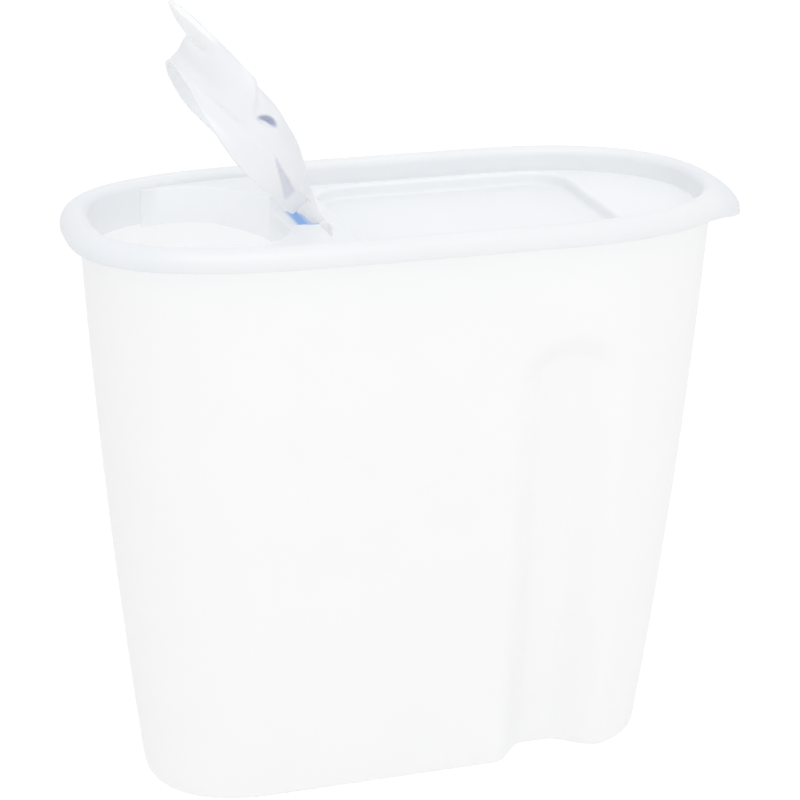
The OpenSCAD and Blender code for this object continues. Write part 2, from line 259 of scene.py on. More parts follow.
def turn_outward(mesh: bpy.types.Mesh) -> None:
    """Merges doubles, drops faces of no area and turns the faces outward.

    Args:
        mesh: The mesh to repair.
    """
    bm = bmesh.new()
    bm.from_mesh(mesh)
    bmesh.ops.remove_doubles(bm, verts=bm.verts, dist=MERGE_DIST)
    bmesh.ops.dissolve_degenerate(bm, edges=bm.edges, dist=SLIVER_DIST)
    bmesh.ops.recalc_face_normals(bm, faces=bm.faces)
    bm.to_mesh(mesh)
    bm.free()


# ---------------------------------------------------------------- sizes shared by the parts


@dataclass(frozen=True)
class Sizes:
    """The keeper's sizes in millimetres, as in the part's source."""

    total_h: float = 250.0
    neck_h: float = 14.0
    rim_r: float = 7.4
    rim_w: float = 11.2
    tab_reach: float = 5.5
    tab_w: float = 100.0
    tab_drop: float = 3.0
    lid_t: float = 1.7
    rim_gap: float = 0.3
    wall_t: float = 1.6
    plug_h: float = 13.0
    deck_drop: float = 10.0
    ledge_drop: float = 4.0
    panel_drop: float = 6.0
    hinge_x: float = 37.0
    hinge_drop: float = 6.9
    cover_start: float = 12.0
    cover_len: float = 75.2
    cover_w: float = 98.0
    cover_power: float = 2.2
    cover_gap: float = 0.6
    barrel_len: float = 33.0
    ear_gap: float = 0.4
    ear_t: float = 2.6
    notch_room: float = 1.0
    ledge_back: float = 3.0
    open_angle: float = 48.0
    lid: Oval = Oval(0.0, 139.0, 68.0, 107.0, 2.83, 91.0, 2.29)
    base: Oval = Oval(-4.6, 112.1, 42.7, 48.2, 2.33, 48.2, 2.33)

    @property
    def neck_z(self) -> float:
        """Height where the neck starts."""
        return self.total_h - self.neck_h

    @property
    def neck_inset(self) -> float:
        """How far the neck lies inside the lid's outline."""
        return self.rim_w - self.lid_t - self.rim_gap - self.wall_t

    @property
    def lip_z(self) -> float:
        """Height of the middle of the lid's roll."""
        return self.total_h - self.rim_r

    @property
    def deck_z(self) -> float:
        """Height of the deck's top."""
        return self.total_h - self.deck_drop

    @property
    def ledge_z(self) -> float:
        """Height of the seat ledge's top."""
        return self.total_h - self.ledge_drop

    @property
    def hinge_z(self) -> float:
        """Height of the hinge axis."""
        return self.total_h - self.hinge_drop

    @property
    def cover_half(self) -> float:
        """Half the cover's length."""
        return self.cover_len / 2

    @property
    def cover_mid(self) -> float:
        """Distance from the hinge to the middle of the cover."""
        return self.cover_start + self.cover_half

    @property
    def notch_half(self) -> float:
        """Half width of the notch for the hinge."""
        return self.barrel_len / 2 + self.ear_gap + self.ear_t + self.notch_room

    @property
    def back_x(self) -> float:
        """Where the seat ledge ends and the deck starts."""
        return -self.hinge_x - self.ledge_back

    @property
    def mouth(self) -> Oval:
        """Outline of the cover's wall, seen from above when closed."""
        half, power, mid = self.cover_half, self.cover_power, -self.hinge_x - self.cover_mid
        return Oval(mid, half, self.cover_w / 2, half, power, half, power)

    def room(self, starts: np.ndarray, ways: np.ndarray, low_x: float, high_x: float) -> np.ndarray:
        """How far points can move before they meet the rim's inner wall or leave a span of x.

        Args:
            starts: Points inside the rim, one a row.
            ways: Unit direction of each.
            low_x: Front end of the span.
            high_x: Back end of the span.

        Returns:
            A distance for each point.
        """
        rim = self.lid.inset(self.rim_w)
        low, high = np.zeros(len(starts)), np.full(len(starts), ROOM_LIMIT)
        for _ in range(HALVINGS):
            mid = (low + high) / 2
            x, y = (starts + ways * mid[:, None]).T
            inside = (np.abs(y) < rim.half_width(x)) & (x > low_x) & (x < high_x)
            low, high = np.where(inside, mid, low), np.where(inside, high, mid)
        return low

    def placed(self, points: np.ndarray) -> np.ndarray:
        """Moves points forward by half of the lift tab's reach."""
        return points + [-self.tab_reach / 2, 0.0, 0.0]

    def opened(self, points: np.ndarray) -> np.ndarray:
        """Turns points, drawn closed about the hinge axis, to where the cover stands open.

        Args:
            points: Points of the closed cover, one a row.

        Returns:
            The points in their place on the lid.
        """
        a = math.radians(self.open_angle)
        x, z = points[:, 0], points[:, 2]
        turned = np.column_stack([
            x * math.cos(a) + z * math.sin(a) - self.hinge_x,
            points[:, 1],
            -x * math.sin(a) + z * math.cos(a) + self.hinge_z,
        ])
        return self.placed(turned)


# ---------------------------------------------------------------- materials


def set_inputs(node: bpy.types.Node, values: dict[str, object]) -> None:
    """Sets inputs of a node by their names."""
    for name, value in values.items():
        node.inputs[name].default_value = value


def wire(
    tree: bpy.types.NodeTree, *pairs: tuple[bpy.types.NodeSocket, bpy.types.NodeSocket],
) -> None:
    """Links each output to the input given with it."""
    for out, into in pairs:
        tree.links.new(out, into)


def new_group(
    name: str, inputs: dict[str, float | None], outputs: Sequence[str],
) -> bpy.types.NodeTree:
    """A new shader node group with its sockets.

    Args:
        name: Name of the group.
        inputs: Each input's name and default, or None for a vector.
        outputs: Name of each output, all of them numbers.

    Returns:
        The group's tree, with Group Input and Group Output nodes in it.
    """
    tree = bpy.data.node_groups.new(name, "ShaderNodeTree")
    for label, default in inputs.items():
        kind = "NodeSocketVector" if default is None else "NodeSocketFloat"
        made = tree.interface.new_socket(label, in_out="INPUT", socket_type=kind)
        if default is not None:
            made.default_value = default
    for label in outputs:
        tree.interface.new_socket(label, in_out="OUTPUT", socket_type="NodeSocketFloat")
    tree.nodes.new("NodeGroupInput")
    tree.nodes.new("NodeGroupOutput")
    return tree


def noise_node(tree: bpy.types.NodeTree, scale: float, detail: float) -> bpy.types.Node:
    """Adds a noise texture.

    Args:
        tree: The tree it goes into.
        scale: Its scale.
        detail: Its detail.

    Returns:
        The node.
    """
    node = tree.nodes.new("ShaderNodeTexNoise")
    set_inputs(node, {"Scale": scale, "Detail": detail})
    return node


def math_node(
    tree: bpy.types.NodeTree, operation: str, first: object, second: object,
) -> bpy.types.NodeSocket:
    """Adds a Math node.

    Args:
        tree: The tree it goes into.
        operation: What it works out.
        first: Its first input, a socket or a number.
        second: Its second input, a socket or a number.

    Returns:
        The node's output.
    """
    node = tree.nodes.new("ShaderNodeMath")
    node.operation = operation
    for slot, value in zip(node.inputs, (first, second)):
        if isinstance(value, bpy.types.NodeSocket):
            tree.links.new(value, slot)
        else:
            slot.default_value = value
    return node.outputs[0]


@dataclass(frozen=True)
class MouldedSkin:
    """Fine moulded texture, slow sink marks and hairline scuffs, shared by the plastics."""

    grain_scale: float = 1400.0
    grain_detail: float = 2.0
    sink_scale: float = 22.0
    sink_detail: float = 1.0
    cloud_scale: float = 38.0
    cloud_detail: float = 4.0
    hair_scale: float = 900.0
    hair_stretch: Point = (1.0, 1.0, 0.06)
    hair_turn: Point = (0.25, 0.1, 0.0)
    hair_level: float = 0.71
    scuff_rough: float = 0.12
    cloud_rough: float = 0.08

    def group(self) -> bpy.types.NodeTree:
        """Builds the shared group.

        Returns:
            A group that puts out a height for bump, a roughness and a mask of cloudy resin.
        """
        tree = new_group(
            "moulded_skin",
            {"Vector": None, "Grain": 1.0, "Sink": 1.0, "Scuffs": 1.0, "Gloss": 0.3},
            ["Height", "Roughness", "Cloud"],
        )
        start, end = tree.nodes["Group Input"], tree.nodes["Group Output"]
        grain = noise_node(tree, self.grain_scale, self.grain_detail)
        sink = noise_node(tree, self.sink_scale, self.sink_detail)
        cloud = noise_node(tree, self.cloud_scale, self.cloud_detail)
        hair = noise_node(tree, self.hair_scale, 0.0)
        stretch = tree.nodes.new("ShaderNodeMapping")
        set_inputs(stretch, {"Scale": self.hair_stretch, "Rotation": self.hair_turn})
        for node in (grain, sink, cloud, stretch):
            wire(tree, (start.outputs["Vector"], node.inputs["Vector"]))
        wire(tree, (stretch.outputs["Vector"], hair.inputs["Vector"]))
        fine = math_node(tree, "MULTIPLY", grain.outputs["Fac"], start.outputs["Grain"])
        slow = math_node(tree, "MULTIPLY", sink.outputs["Fac"], start.outputs["Sink"])
        lines = math_node(tree, "GREATER_THAN", hair.outputs["Fac"], self.hair_level)
        scuff = math_node(tree, "MULTIPLY", lines, start.outputs["Scuffs"])
        wear = math_node(tree, "MULTIPLY", scuff, self.scuff_rough)
        vary = math_node(tree, "MULTIPLY", cloud.outputs["Fac"], self.cloud_rough)
        worn = math_node(tree, "ADD", start.outputs["Gloss"], wear)
        wire(
            tree,
            (math_node(tree, "ADD", fine, slow), end.inputs["Height"]),
            (math_node(tree, "ADD", worn, vary), end.inputs["Roughness"]),
            (cloud.outputs["Fac"], end.inputs["Cloud"]),
        )
        return tree


@dataclass(frozen=True)
class Plastic:
    """One translucent moulded plastic.

    Its colour drifts between pale and deep with the cloudy resin. Painted shade turns it toward
    the shade colour in creases, gaps and recesses, partly the deeper tint of thick plastic, and
    painted light turns it toward a lighter colour where light would come through it. Light
    that it lets in is tinted by through.
    """

    name: str
    pale: Colour
    deep: Colour
    painted_shading: Colour
    lit_through: Colour
    through: Colour
    gloss: float
    grain: float
    scuffs: float
    sink: float = 0.6
    cloud_span: tuple[float, float] = (0.3, 0.7)
    bump_strength: float = 0.12
    bump_height: float = 0.0004
    scatter: float = 0.3
    depth: float = 0.002
    ior: float = 1.45
    let_in: float = 0.95

    def material(self, skin: bpy.types.NodeTree) -> bpy.types.Material:
        """Builds the material.

        Args:
            skin: The shared moulded skin group.

        Returns:
            A material whose colour, roughness and bump vary over the surface.
        """
        mat = bpy.data.materials.new(self.name)
        mat.use_nodes = True
        tree = mat.node_tree
        shader = tree.nodes["Principled BSDF"]
        coords = tree.nodes.new("ShaderNodeTexCoord")
        group = tree.nodes.new("ShaderNodeGroup")
        group.node_tree = skin
        set_inputs(group, {
            "Grain": self.grain, "Sink": self.sink, "Scuffs": self.scuffs, "Gloss": self.gloss,
        })
        bump = tree.nodes.new("ShaderNodeBump")
        set_inputs(bump, {"Strength": self.bump_strength, "Distance": self.bump_height})
        wire(
            tree,
            (coords.outputs["Object"], group.inputs["Vector"]),
            (self.colour(tree, group.outputs["Cloud"]), shader.inputs["Base Color"]),
            (group.outputs["Roughness"], shader.inputs["Roughness"]),
            (group.outputs["Height"], bump.inputs["Height"]),
            (bump.outputs["Normal"], shader.inputs["Normal"]),
        )
        set_inputs(shader, {
            "IOR": self.ior, "Subsurface Weight": self.scatter,
            "Subsurface Radius": (1.0, 1.0, 1.0), "Subsurface Scale": self.depth,
        })
        self.let_light_in(tree, shader)
        return mat

    def colour(self, tree: bpy.types.NodeTree, cloud: bpy.types.NodeSocket) -> bpy.types.NodeSocket:
        """Mixes the plastic's colour, with painted shade and painted light from the mesh's
        attribute.

        Args:
            tree: The material's tree.
            cloud: The mask of cloudy resin.

        Returns:
            The colour at each place.
        """
        ramp = tree.nodes.new("ShaderNodeValToRGB")
        stops = zip(ramp.color_ramp.elements, self.cloud_span, (self.deep, self.pale))
        for stop, at, colour in stops:
            stop.position, stop.color = at, (*colour, 1.0)
        wire(tree, (cloud, ramp.inputs["Fac"]))
        # Painted shading from the mesh: above 0 it blends in the painted shade colour, below 0 the
        # painted light colour.
        shading = tree.nodes.new("ShaderNodeAttribute")
        shading.attribute_name = SHADING_KEY
        shaded = math_node(tree, "MAXIMUM", shading.outputs["Fac"], 0.0)
        below = math_node(tree, "MULTIPLY", shading.outputs["Fac"], -1.0)
        shaded_colour = self.blended(tree, ramp.outputs["Color"], self.painted_shading, shaded)
        return self.blended(tree, shaded_colour, self.lit_through, math_node(tree, "MAXIMUM", below, 0.0))

    @staticmethod
    def blended(
        tree: bpy.types.NodeTree, base: bpy.types.NodeSocket, other: Colour,
        share: bpy.types.NodeSocket,
    ) -> bpy.types.NodeSocket:
        """Blends a colour into another.

        Args:
            tree: The material's tree.
            base: The colour blended into.
            other: The colour blended in.
            share: How much of it shows.

        Returns:
            The blended colour.
        """
        node = tree.nodes.new("ShaderNodeMix")
        node.data_type = "RGBA"
        wire(tree, (share, node.inputs["Factor"]), (base, node.inputs[MIX_A]))
        node.inputs[MIX_B].default_value = (*other, 1.0)
        return node.outputs[MIX_RESULT]

    def let_light_in(self, tree: bpy.types.NodeTree, shader: bpy.types.Node) -> None:
        """Lets lamps and sky reach what is behind the wall, as they do through a milky one of small
        thickness.

        Args:
            tree: The material's tree.
            shader: Its Principled BSDF.
        """
        path = tree.nodes.new("ShaderNodeLightPath")
        milk = tree.nodes.new("ShaderNodeBsdfTransparent")
        part, bounced, lit = (tree.nodes.new("ShaderNodeMixShader") for _ in range(3))
        set_inputs(milk, {"Color": (*self.through, 1.0)})
        set_inputs(part, {"Fac": self.let_in})
        wire(
            tree,
            (shader.outputs["BSDF"], part.inputs[1]),
            (milk.outputs["BSDF"], part.inputs[2]),
            (path.outputs["Is Diffuse Ray"], bounced.inputs["Fac"]),
            (shader.outputs["BSDF"], bounced.inputs[1]),
            (part.outputs["Shader"], bounced.inputs[2]),
            (path.outputs["Is Shadow Ray"], lit.inputs["Fac"]),
            (bounced.outputs["Shader"], lit.inputs[1]),
            (milk.outputs["BSDF"], lit.inputs[2]),
            (lit.outputs["Shader"], tree.nodes["Material Output"].inputs["Surface"]),
        )


# In each plastic the darker pooled colour is painted shade and the lighter one painted light,
# blended in by the mesh's shading attribute.
PLASTICS: dict[Finish, Plastic] = {
    Finish.TUB: Plastic(
        name="tub_milky_plastic",
        pale=(0.945, 0.945, 0.944), deep=(0.936, 0.936, 0.935),
        painted_shading=(0.86, 0.87, 0.89), lit_through=(0.985, 0.985, 0.985), through=(0.99, 0.99, 0.99),
        gloss=0.38, grain=0.5, scuffs=0.6,
    ),
    Finish.LID: Plastic(
        name="lid_pale_blue_plastic",
        pale=(0.848, 0.862, 0.878), deep=(0.836, 0.851, 0.868),
        painted_shading=(0.22, 0.42, 0.80), lit_through=(0.94, 0.965, 0.99), through=(0.97, 0.98, 0.99),
        gloss=0.30, grain=0.35, scuffs=0.5,
    ),
    Finish.COVER: Plastic(
        name="cover_pale_blue_plastic",
        pale=(0.845, 0.855, 0.88), deep=(0.832, 0.843, 0.87),
        painted_shading=(0.42, 0.45, 0.60), lit_through=(0.93, 0.945, 0.96), through=(0.965, 0.975, 0.985),
        gloss=0.30, grain=0.35, scuffs=0.5,
    ),
}


# ---------------------------------------------------------------- the tub


@dataclass
class Tub:
    """The tapered container with its two finger grips and the lip rolled over its neck."""

    sizes: Sizes
    base_round: float = 2.4
    floor_t: float = 2.2
    floor_round: float = 3.0
    bow: float = 2.1
    grip_h: float = 203.0
    grip_x0: float = 31.0
    grip_x1: float = 82.0
    grip_depth: float = 13.8
    grip_top_depth: float = 3.2
    grip_steep: float = 17.0
    grip_gentle: float = 23.0
    grip_arch: float = 15.0
    arch_blend: float = 12.0
    arch_z: float = 172.0
    tip_fade: float = 20.0
    points: int = 360

    def oval_at(self, z: float) -> Oval:
        """The wall's oval at a height, between base and neck and bowed out a little.

        Args:
            z: Height above the floor it stands on.

        Returns:
            The oval.
        """
        u = min(max(z / self.sizes.neck_z, 0.0), 1.0)
        bow = self.bow * 4 * u * (1 - u)
        o = self.sizes.base.toward(self.sizes.lid.inset(self.sizes.neck_inset), u)
        return replace(o, half_len=o.half_len + bow, half_wid=o.half_wid + bow)

    def grip(self, x: np.ndarray, z: float) -> np.ndarray:
        """Depth of the finger grip.

        Args:
            x: Places along the length.
            z: Height.

        Returns:
            How far the wall is pressed in at each place.
        """
        x0, x1 = self.grip_x0, self.grip_x1
        off = np.minimum(np.abs(x - (x0 + x1) / 2) / ((x1 - x0) / 2), 1.0)
        crown = self.grip_h - self.grip_arch * off**2
        depth = mix(self.grip_depth, self.grip_top_depth, min(z / self.grip_h, 1.0))
        ends = eased(x, x0, x0 + self.grip_steep) * eased(x, x1, x1 - self.grip_gentle)
        return depth * ends * eased(z, crown, crown - self.arch_blend)

    def ring(self, z: float, d: float) -> Ring:
        """The wall's outline.

        Args:
            z: Height.
            d: How far it is drawn in.

        Returns:
            The ring's points.
        """
        xy = self.oval_at(z).inset(d).outline(self.points)
        share = np.minimum(np.abs(xy[:, 1]) / self.tip_fade, 1.0)
        xy[:, 1] -= np.sign(xy[:, 1]) * self.grip(xy[:, 0], z) * share
        return stack(xy, z)

    def foot_corner(self) -> list[Ring]:
        """Rings over the rounded corner under the wall.

        Returns:
            The rings, up to where the wall starts.
        """
        r = self.base_round
        turns = np.radians(np.linspace(0.0, 90.0, 7)[:-1])
        return [self.laid(r, r * (1 - math.sin(t)), r * (1 - math.cos(t))) for t in turns]

    def floor_corner(self) -> list[Ring]:
        """Rings over the rounded corner inside.

        Returns:
            The rings, from the wall down to the floor.
        """
        r, wall_t, floor_t = self.floor_round, self.sizes.wall_t, self.floor_t
        turns = np.radians(np.linspace(0.0, 90.0, 5))
        return [
            self.laid(floor_t, wall_t + r * (1 - math.cos(t)), floor_t + r * (1 - math.sin(t)))
            for t in turns
        ]

    def laid(self, at_z: float, d: float, z: float) -> Ring:
        """The wall's outline taken at one height and laid at another.

        Args:
            at_z: Height that it is taken at.
            d: How far it is drawn in.
            z: Height that it is laid at.

        Returns:
            The ring's points.
        """
        ring = self.ring(at_z, d)
        ring[:, 2] = z
        return ring

    def lip_ring(self, d: float, z: float) -> Ring:
        """An outline under the lid's rim, d inside the lid's own."""
        return stack(self.sizes.lid.inset(d).outline(self.points), z)

    def lip_arc(self, radius: float, start: float, stop: float) -> list[Ring]:
        """Rings over the rolled lip.

        Args:
            radius: Radius of the roll.
            start: First angle in degrees, 0 at the outside and 90 at the top.
            stop: Last angle in degrees.

        Returns:
            One ring for each step of the roll.
        """
        s = self.sizes
        roll = arc((0, 0), radius, start, stop, 8)
        return [self.lip_ring(s.rim_r - x, s.lip_z + z) for x, z in roll]

    def build(self) -> bpy.types.Object:
        """Makes the tub as one closed shell.

        Returns:
            The tub's object.
        """
        s = self.sizes
        heights = np.concatenate([
            np.linspace(self.base_round, self.arch_z, 44)[:-1],
            np.linspace(self.arch_z, self.grip_h + 1, 26)[:-1],
            np.linspace(self.grip_h + 1, s.neck_z, 10),
        ])
        wall = [self.ring(z, 0.0) for z in heights]
        lip_r = s.rim_r - s.lid_t - s.rim_gap
        roll = self.lip_arc(lip_r - s.wall_t, 90.0, 0.0) + self.lip_arc(lip_r, 0.0, 90.0)
        neck_top = s.total_h - (s.rim_w - s.rim_r) - s.rim_gap
        roll.append(self.lip_ring(s.neck_inset + s.wall_t, neck_top))
        low = self.floor_t + self.floor_round + 1.0
        inside = [self.ring(z, s.wall_t) for z in heights[::-2] if z > low]
        inside += self.floor_corner()
        draft = MeshDraft()
        draft.shell(self.foot_corner() + wall + roll + inside)
        shown = draft.count - len(inside) * self.points
        # Painted light: the inside faces take the plastic's lighter colour, as if lit through the
        # wall.
        return draft.build(
            "container_tub", 50.0, s.placed,
            lambda points: np.where(np.arange(len(points)) < shown, 0.0, -1.0),
        )


# ---------------------------------------------------------------- the lid


@dataclass
class LidRim:
    """The rolled rim, its inner plug wall and the lift tab at the back."""

    sizes: Sizes
    points: int = 320
    edge_round: float = 0.35
    hem: float = 0.6
    tab_hang: float = 1.8
    tab_fade: float = 1.5
    front_plug: float = 5.5
    front_plug_x: float = 84.0
    front_plug_fade: float = 14.0
    # Painted light on the plug wall, and painted shade on the lift tab and the front end.
    light_share: float = 0.4
    light_from: float = 5.0
    tab_shade: float = 0.06
    tab_shade_x: float = 118.0
    front_shade: float = 0.04
    front_shade_x: float = 95.0

    def section(self) -> list[tuple[float, float, bool]]:
        """The rim's section.

        Returns:
            Distance in from the lid's outline, height, and whether the lift tab carries the point.
        """
        s, e = self.sizes, self.edge_round
        lip_z, low, top = s.lip_z, s.lip_z - self.hem, s.total_h
        crest, inner_r, foot = s.rim_w - s.rim_r, s.rim_r - s.lid_t, s.total_h - s.plug_h
        outer = [(s.lid_t - e, low), (e, low)] + arc((e + 0.1, low + e), e, 240, 180, 3)
        outer += arc((s.rim_r, lip_z), s.rim_r, 180, 90, 16)
        inner = arc((s.rim_r, top - crest), crest, 80, 0, 10)
        inner += [(s.rim_w, foot + e)] + arc((s.rim_w - e, foot + e), e, 0, -90, 3)
        inner += arc((s.rim_w - s.lid_t + e, foot + e), e, -90, -180, 3)
        inner += [(s.rim_w - s.lid_t, top - crest)] + arc((s.rim_r, lip_z), inner_r, 75, 180, 14)
        inner += [(s.lid_t, low + e)]
        return [(x, z, True) for x, z in outer] + [(x, z, False) for x, z in inner]

    def painted_shading(self, points: np.ndarray) -> Share:
        """Share of painted shading: painted light on the plug wall, painted shade on the lift tab
        and the front end.

        Args:
            points: The rim's points, one a row.

        Returns:
            The share at each point, below 0 where light is painted.
        """
        s = self.sizes
        x, y, z = points.T
        light_z = s.total_h - self.light_from
        inside = s.lid.inset(s.rim_w - s.lid_t - 0.4).half_width(x) - np.abs(y)
        plug = eased(z, light_z, light_z - 3.0) * eased(inside, 0.0, 0.3)
        shaded = self.tab_shade * eased(x, self.tab_shade_x, self.tab_shade_x + 20.0)
        shaded += self.front_shade * eased(-x, self.front_shade_x, self.front_shade_x + 30.0)
        return shaded - self.light_share * plug

    def tab(self, xy: np.ndarray) -> Share:
        """How much of the lift tab shows at each point of the outline."""
        wide = self.sizes.tab_w / 2
        return np.where(xy[:, 0] > 0, eased(np.abs(xy[:, 1]), wide, wide / 2), 0.0)

    def build(self) -> bpy.types.Object:
        """Makes the rim as one closed band.

        Returns:
            The rim's object.
        """
        s = self.sizes
        foot = s.total_h - s.plug_h
        rings = []
        for d, z, carried in self.section():
            ring = stack(s.lid.inset(d).outline(self.points), z)
            if carried:
                tab = self.tab(ring) * max(1 - d / s.rim_r, 0.0) ** 2
                hang = self.tab_hang * float(eased(z, s.lip_z + self.tab_fade, s.lip_z))
                ring[:, 0] += s.tab_reach * tab
                ring[:, 2] -= (s.tab_drop + hang) * tab
            sunk = eased(z, foot + 2.0, foot + 0.5) * eased(d, s.rim_r, s.rim_r + 1.5)
            front = eased(-ring[:, 0], self.front_plug_x, self.front_plug_x + self.front_plug_fade)
            ring[:, 2] -= self.front_plug * sunk * front
            rings.append(ring)
        draft = MeshDraft()
        draft.shell(rings[::-1], capped=False, looped=True)
        return draft.build("lid_rolled_rim", 35.0, s.placed, self.painted_shading)


@dataclass
class LidDeck:
    """The deck behind the spout with the tray sunk in it."""

    sizes: Sizes
    tray_x0: float = -26.0
    tray_x1: float = 86.0
    tray_w: float = 105.0
    tray_r: float = 16.0
    brow: float = 1.6
    foot: float = 2.0
    floor_steps: tuple[float, float] = (8.0, 15.5)
    # Painted light over the deck, and painted shade along its edge under the hinge, partly the
    # deeper tint of thick plastic.
    light_share: float = 0.35
    shade_share: float = 1.2
    shade_half: float = 18.0

    def tray_ring(self, out: float) -> tuple[np.ndarray, np.ndarray]:
        """The tray's outline grown by out, with the outward direction at each point.

        Args:
            out: Growth, negative to shrink.

        Returns:
            Points and unit directions, counterclockwise.
        """
        r, w = self.tray_r, self.tray_w
        corners = [
            (self.tray_x1 - r, w / 2 - r, 0), (self.tray_x0 + r, w / 2 - r, 90),
            (self.tray_x0 + r, r - w / 2, 180), (self.tray_x1 - r, r - w / 2, 270),
        ]
        middles, ways = [], []
        for k, (cx, cy, first) in enumerate(corners):
            for t in np.radians(np.linspace(first, first + 90, 13)):
                middles.append((cx, cy))
                ways.append((math.cos(t), math.sin(t)))
            nx, ny, turn = corners[(k + 1) % 4]
            t = math.radians(turn)
            for u in np.linspace(0, 1, 26)[1:-1]:
                middles.append((mix(cx, nx, u), mix(cy, ny, u)))
                ways.append((math.cos(t), math.sin(t)))
        return np.array(middles) + (r + out) * np.array(ways), np.array(ways)

    def build(self) -> bpy.types.Object:
        """Makes the deck and tray as one closed shell with eased edges.

        Returns:
            The deck's object.
        """
        s = self.sizes
        t, brow, foot = s.lid_t, self.brow, self.foot
        floor_z = s.deck_z - s.panel_drop
        base, ways = self.tray_ring(0.0)
        room = s.room(base, ways, s.back_x, math.inf)

        def at(out: float, z: float) -> Ring:
            """The tray's outline grown by out, at height z."""
            return stack(self.tray_ring(out)[0], z)

        def outer(share: float, z: float) -> Ring:
            """A ring at height z, a share of the way from the tray's brow to the deck's edge."""
            return stack(base + ways * (brow + (room - brow) * share)[:, None], z)

        near, far = self.floor_steps
        top = [outer(1.0, s.deck_z), outer(0.5, s.deck_z)]
        top += [at(x, z) for x, z in arc((brow, s.deck_z - brow), brow, 90, 180, 6)]
        top += [at(x, z) for x, z in arc((-foot, floor_z + foot), foot, 0, -90, 6)]
        top += [at(-near, floor_z), at(-far, floor_z)]
        under = [at(-far, floor_z - t), at(-near, floor_z - t)]
        under += [at(x, z) for x, z in arc((t - foot, floor_z - t + foot), foot, -90, 0, 5)]
        under += [at(t, s.deck_z - t - 0.2), at(t + brow, s.deck_z - t), outer(1.0, s.deck_z - t)]
        draft = MeshDraft()
        draft.shell(under + top)
        return draft.build("lid_deck_tray", 45.0, s.placed, self.painted_shading)

    def painted_shading(self, points: np.ndarray) -> Share:
        """Share of painted shading: painted shade at the edge under the hinge, painted light over
        the rest.

        Args:
            points: The deck's points, one a row.

        Returns:
            The share at each point, below 0 where light is painted.
        """
        x, y, _ = points.T
        edge = eased(x, self.sizes.back_x + 0.6, self.sizes.back_x + 0.1)
        under_hinge = eased(np.abs(y), self.shade_half, self.shade_half - 3.0)
        return self.shade_share * edge * under_hinge - self.light_share


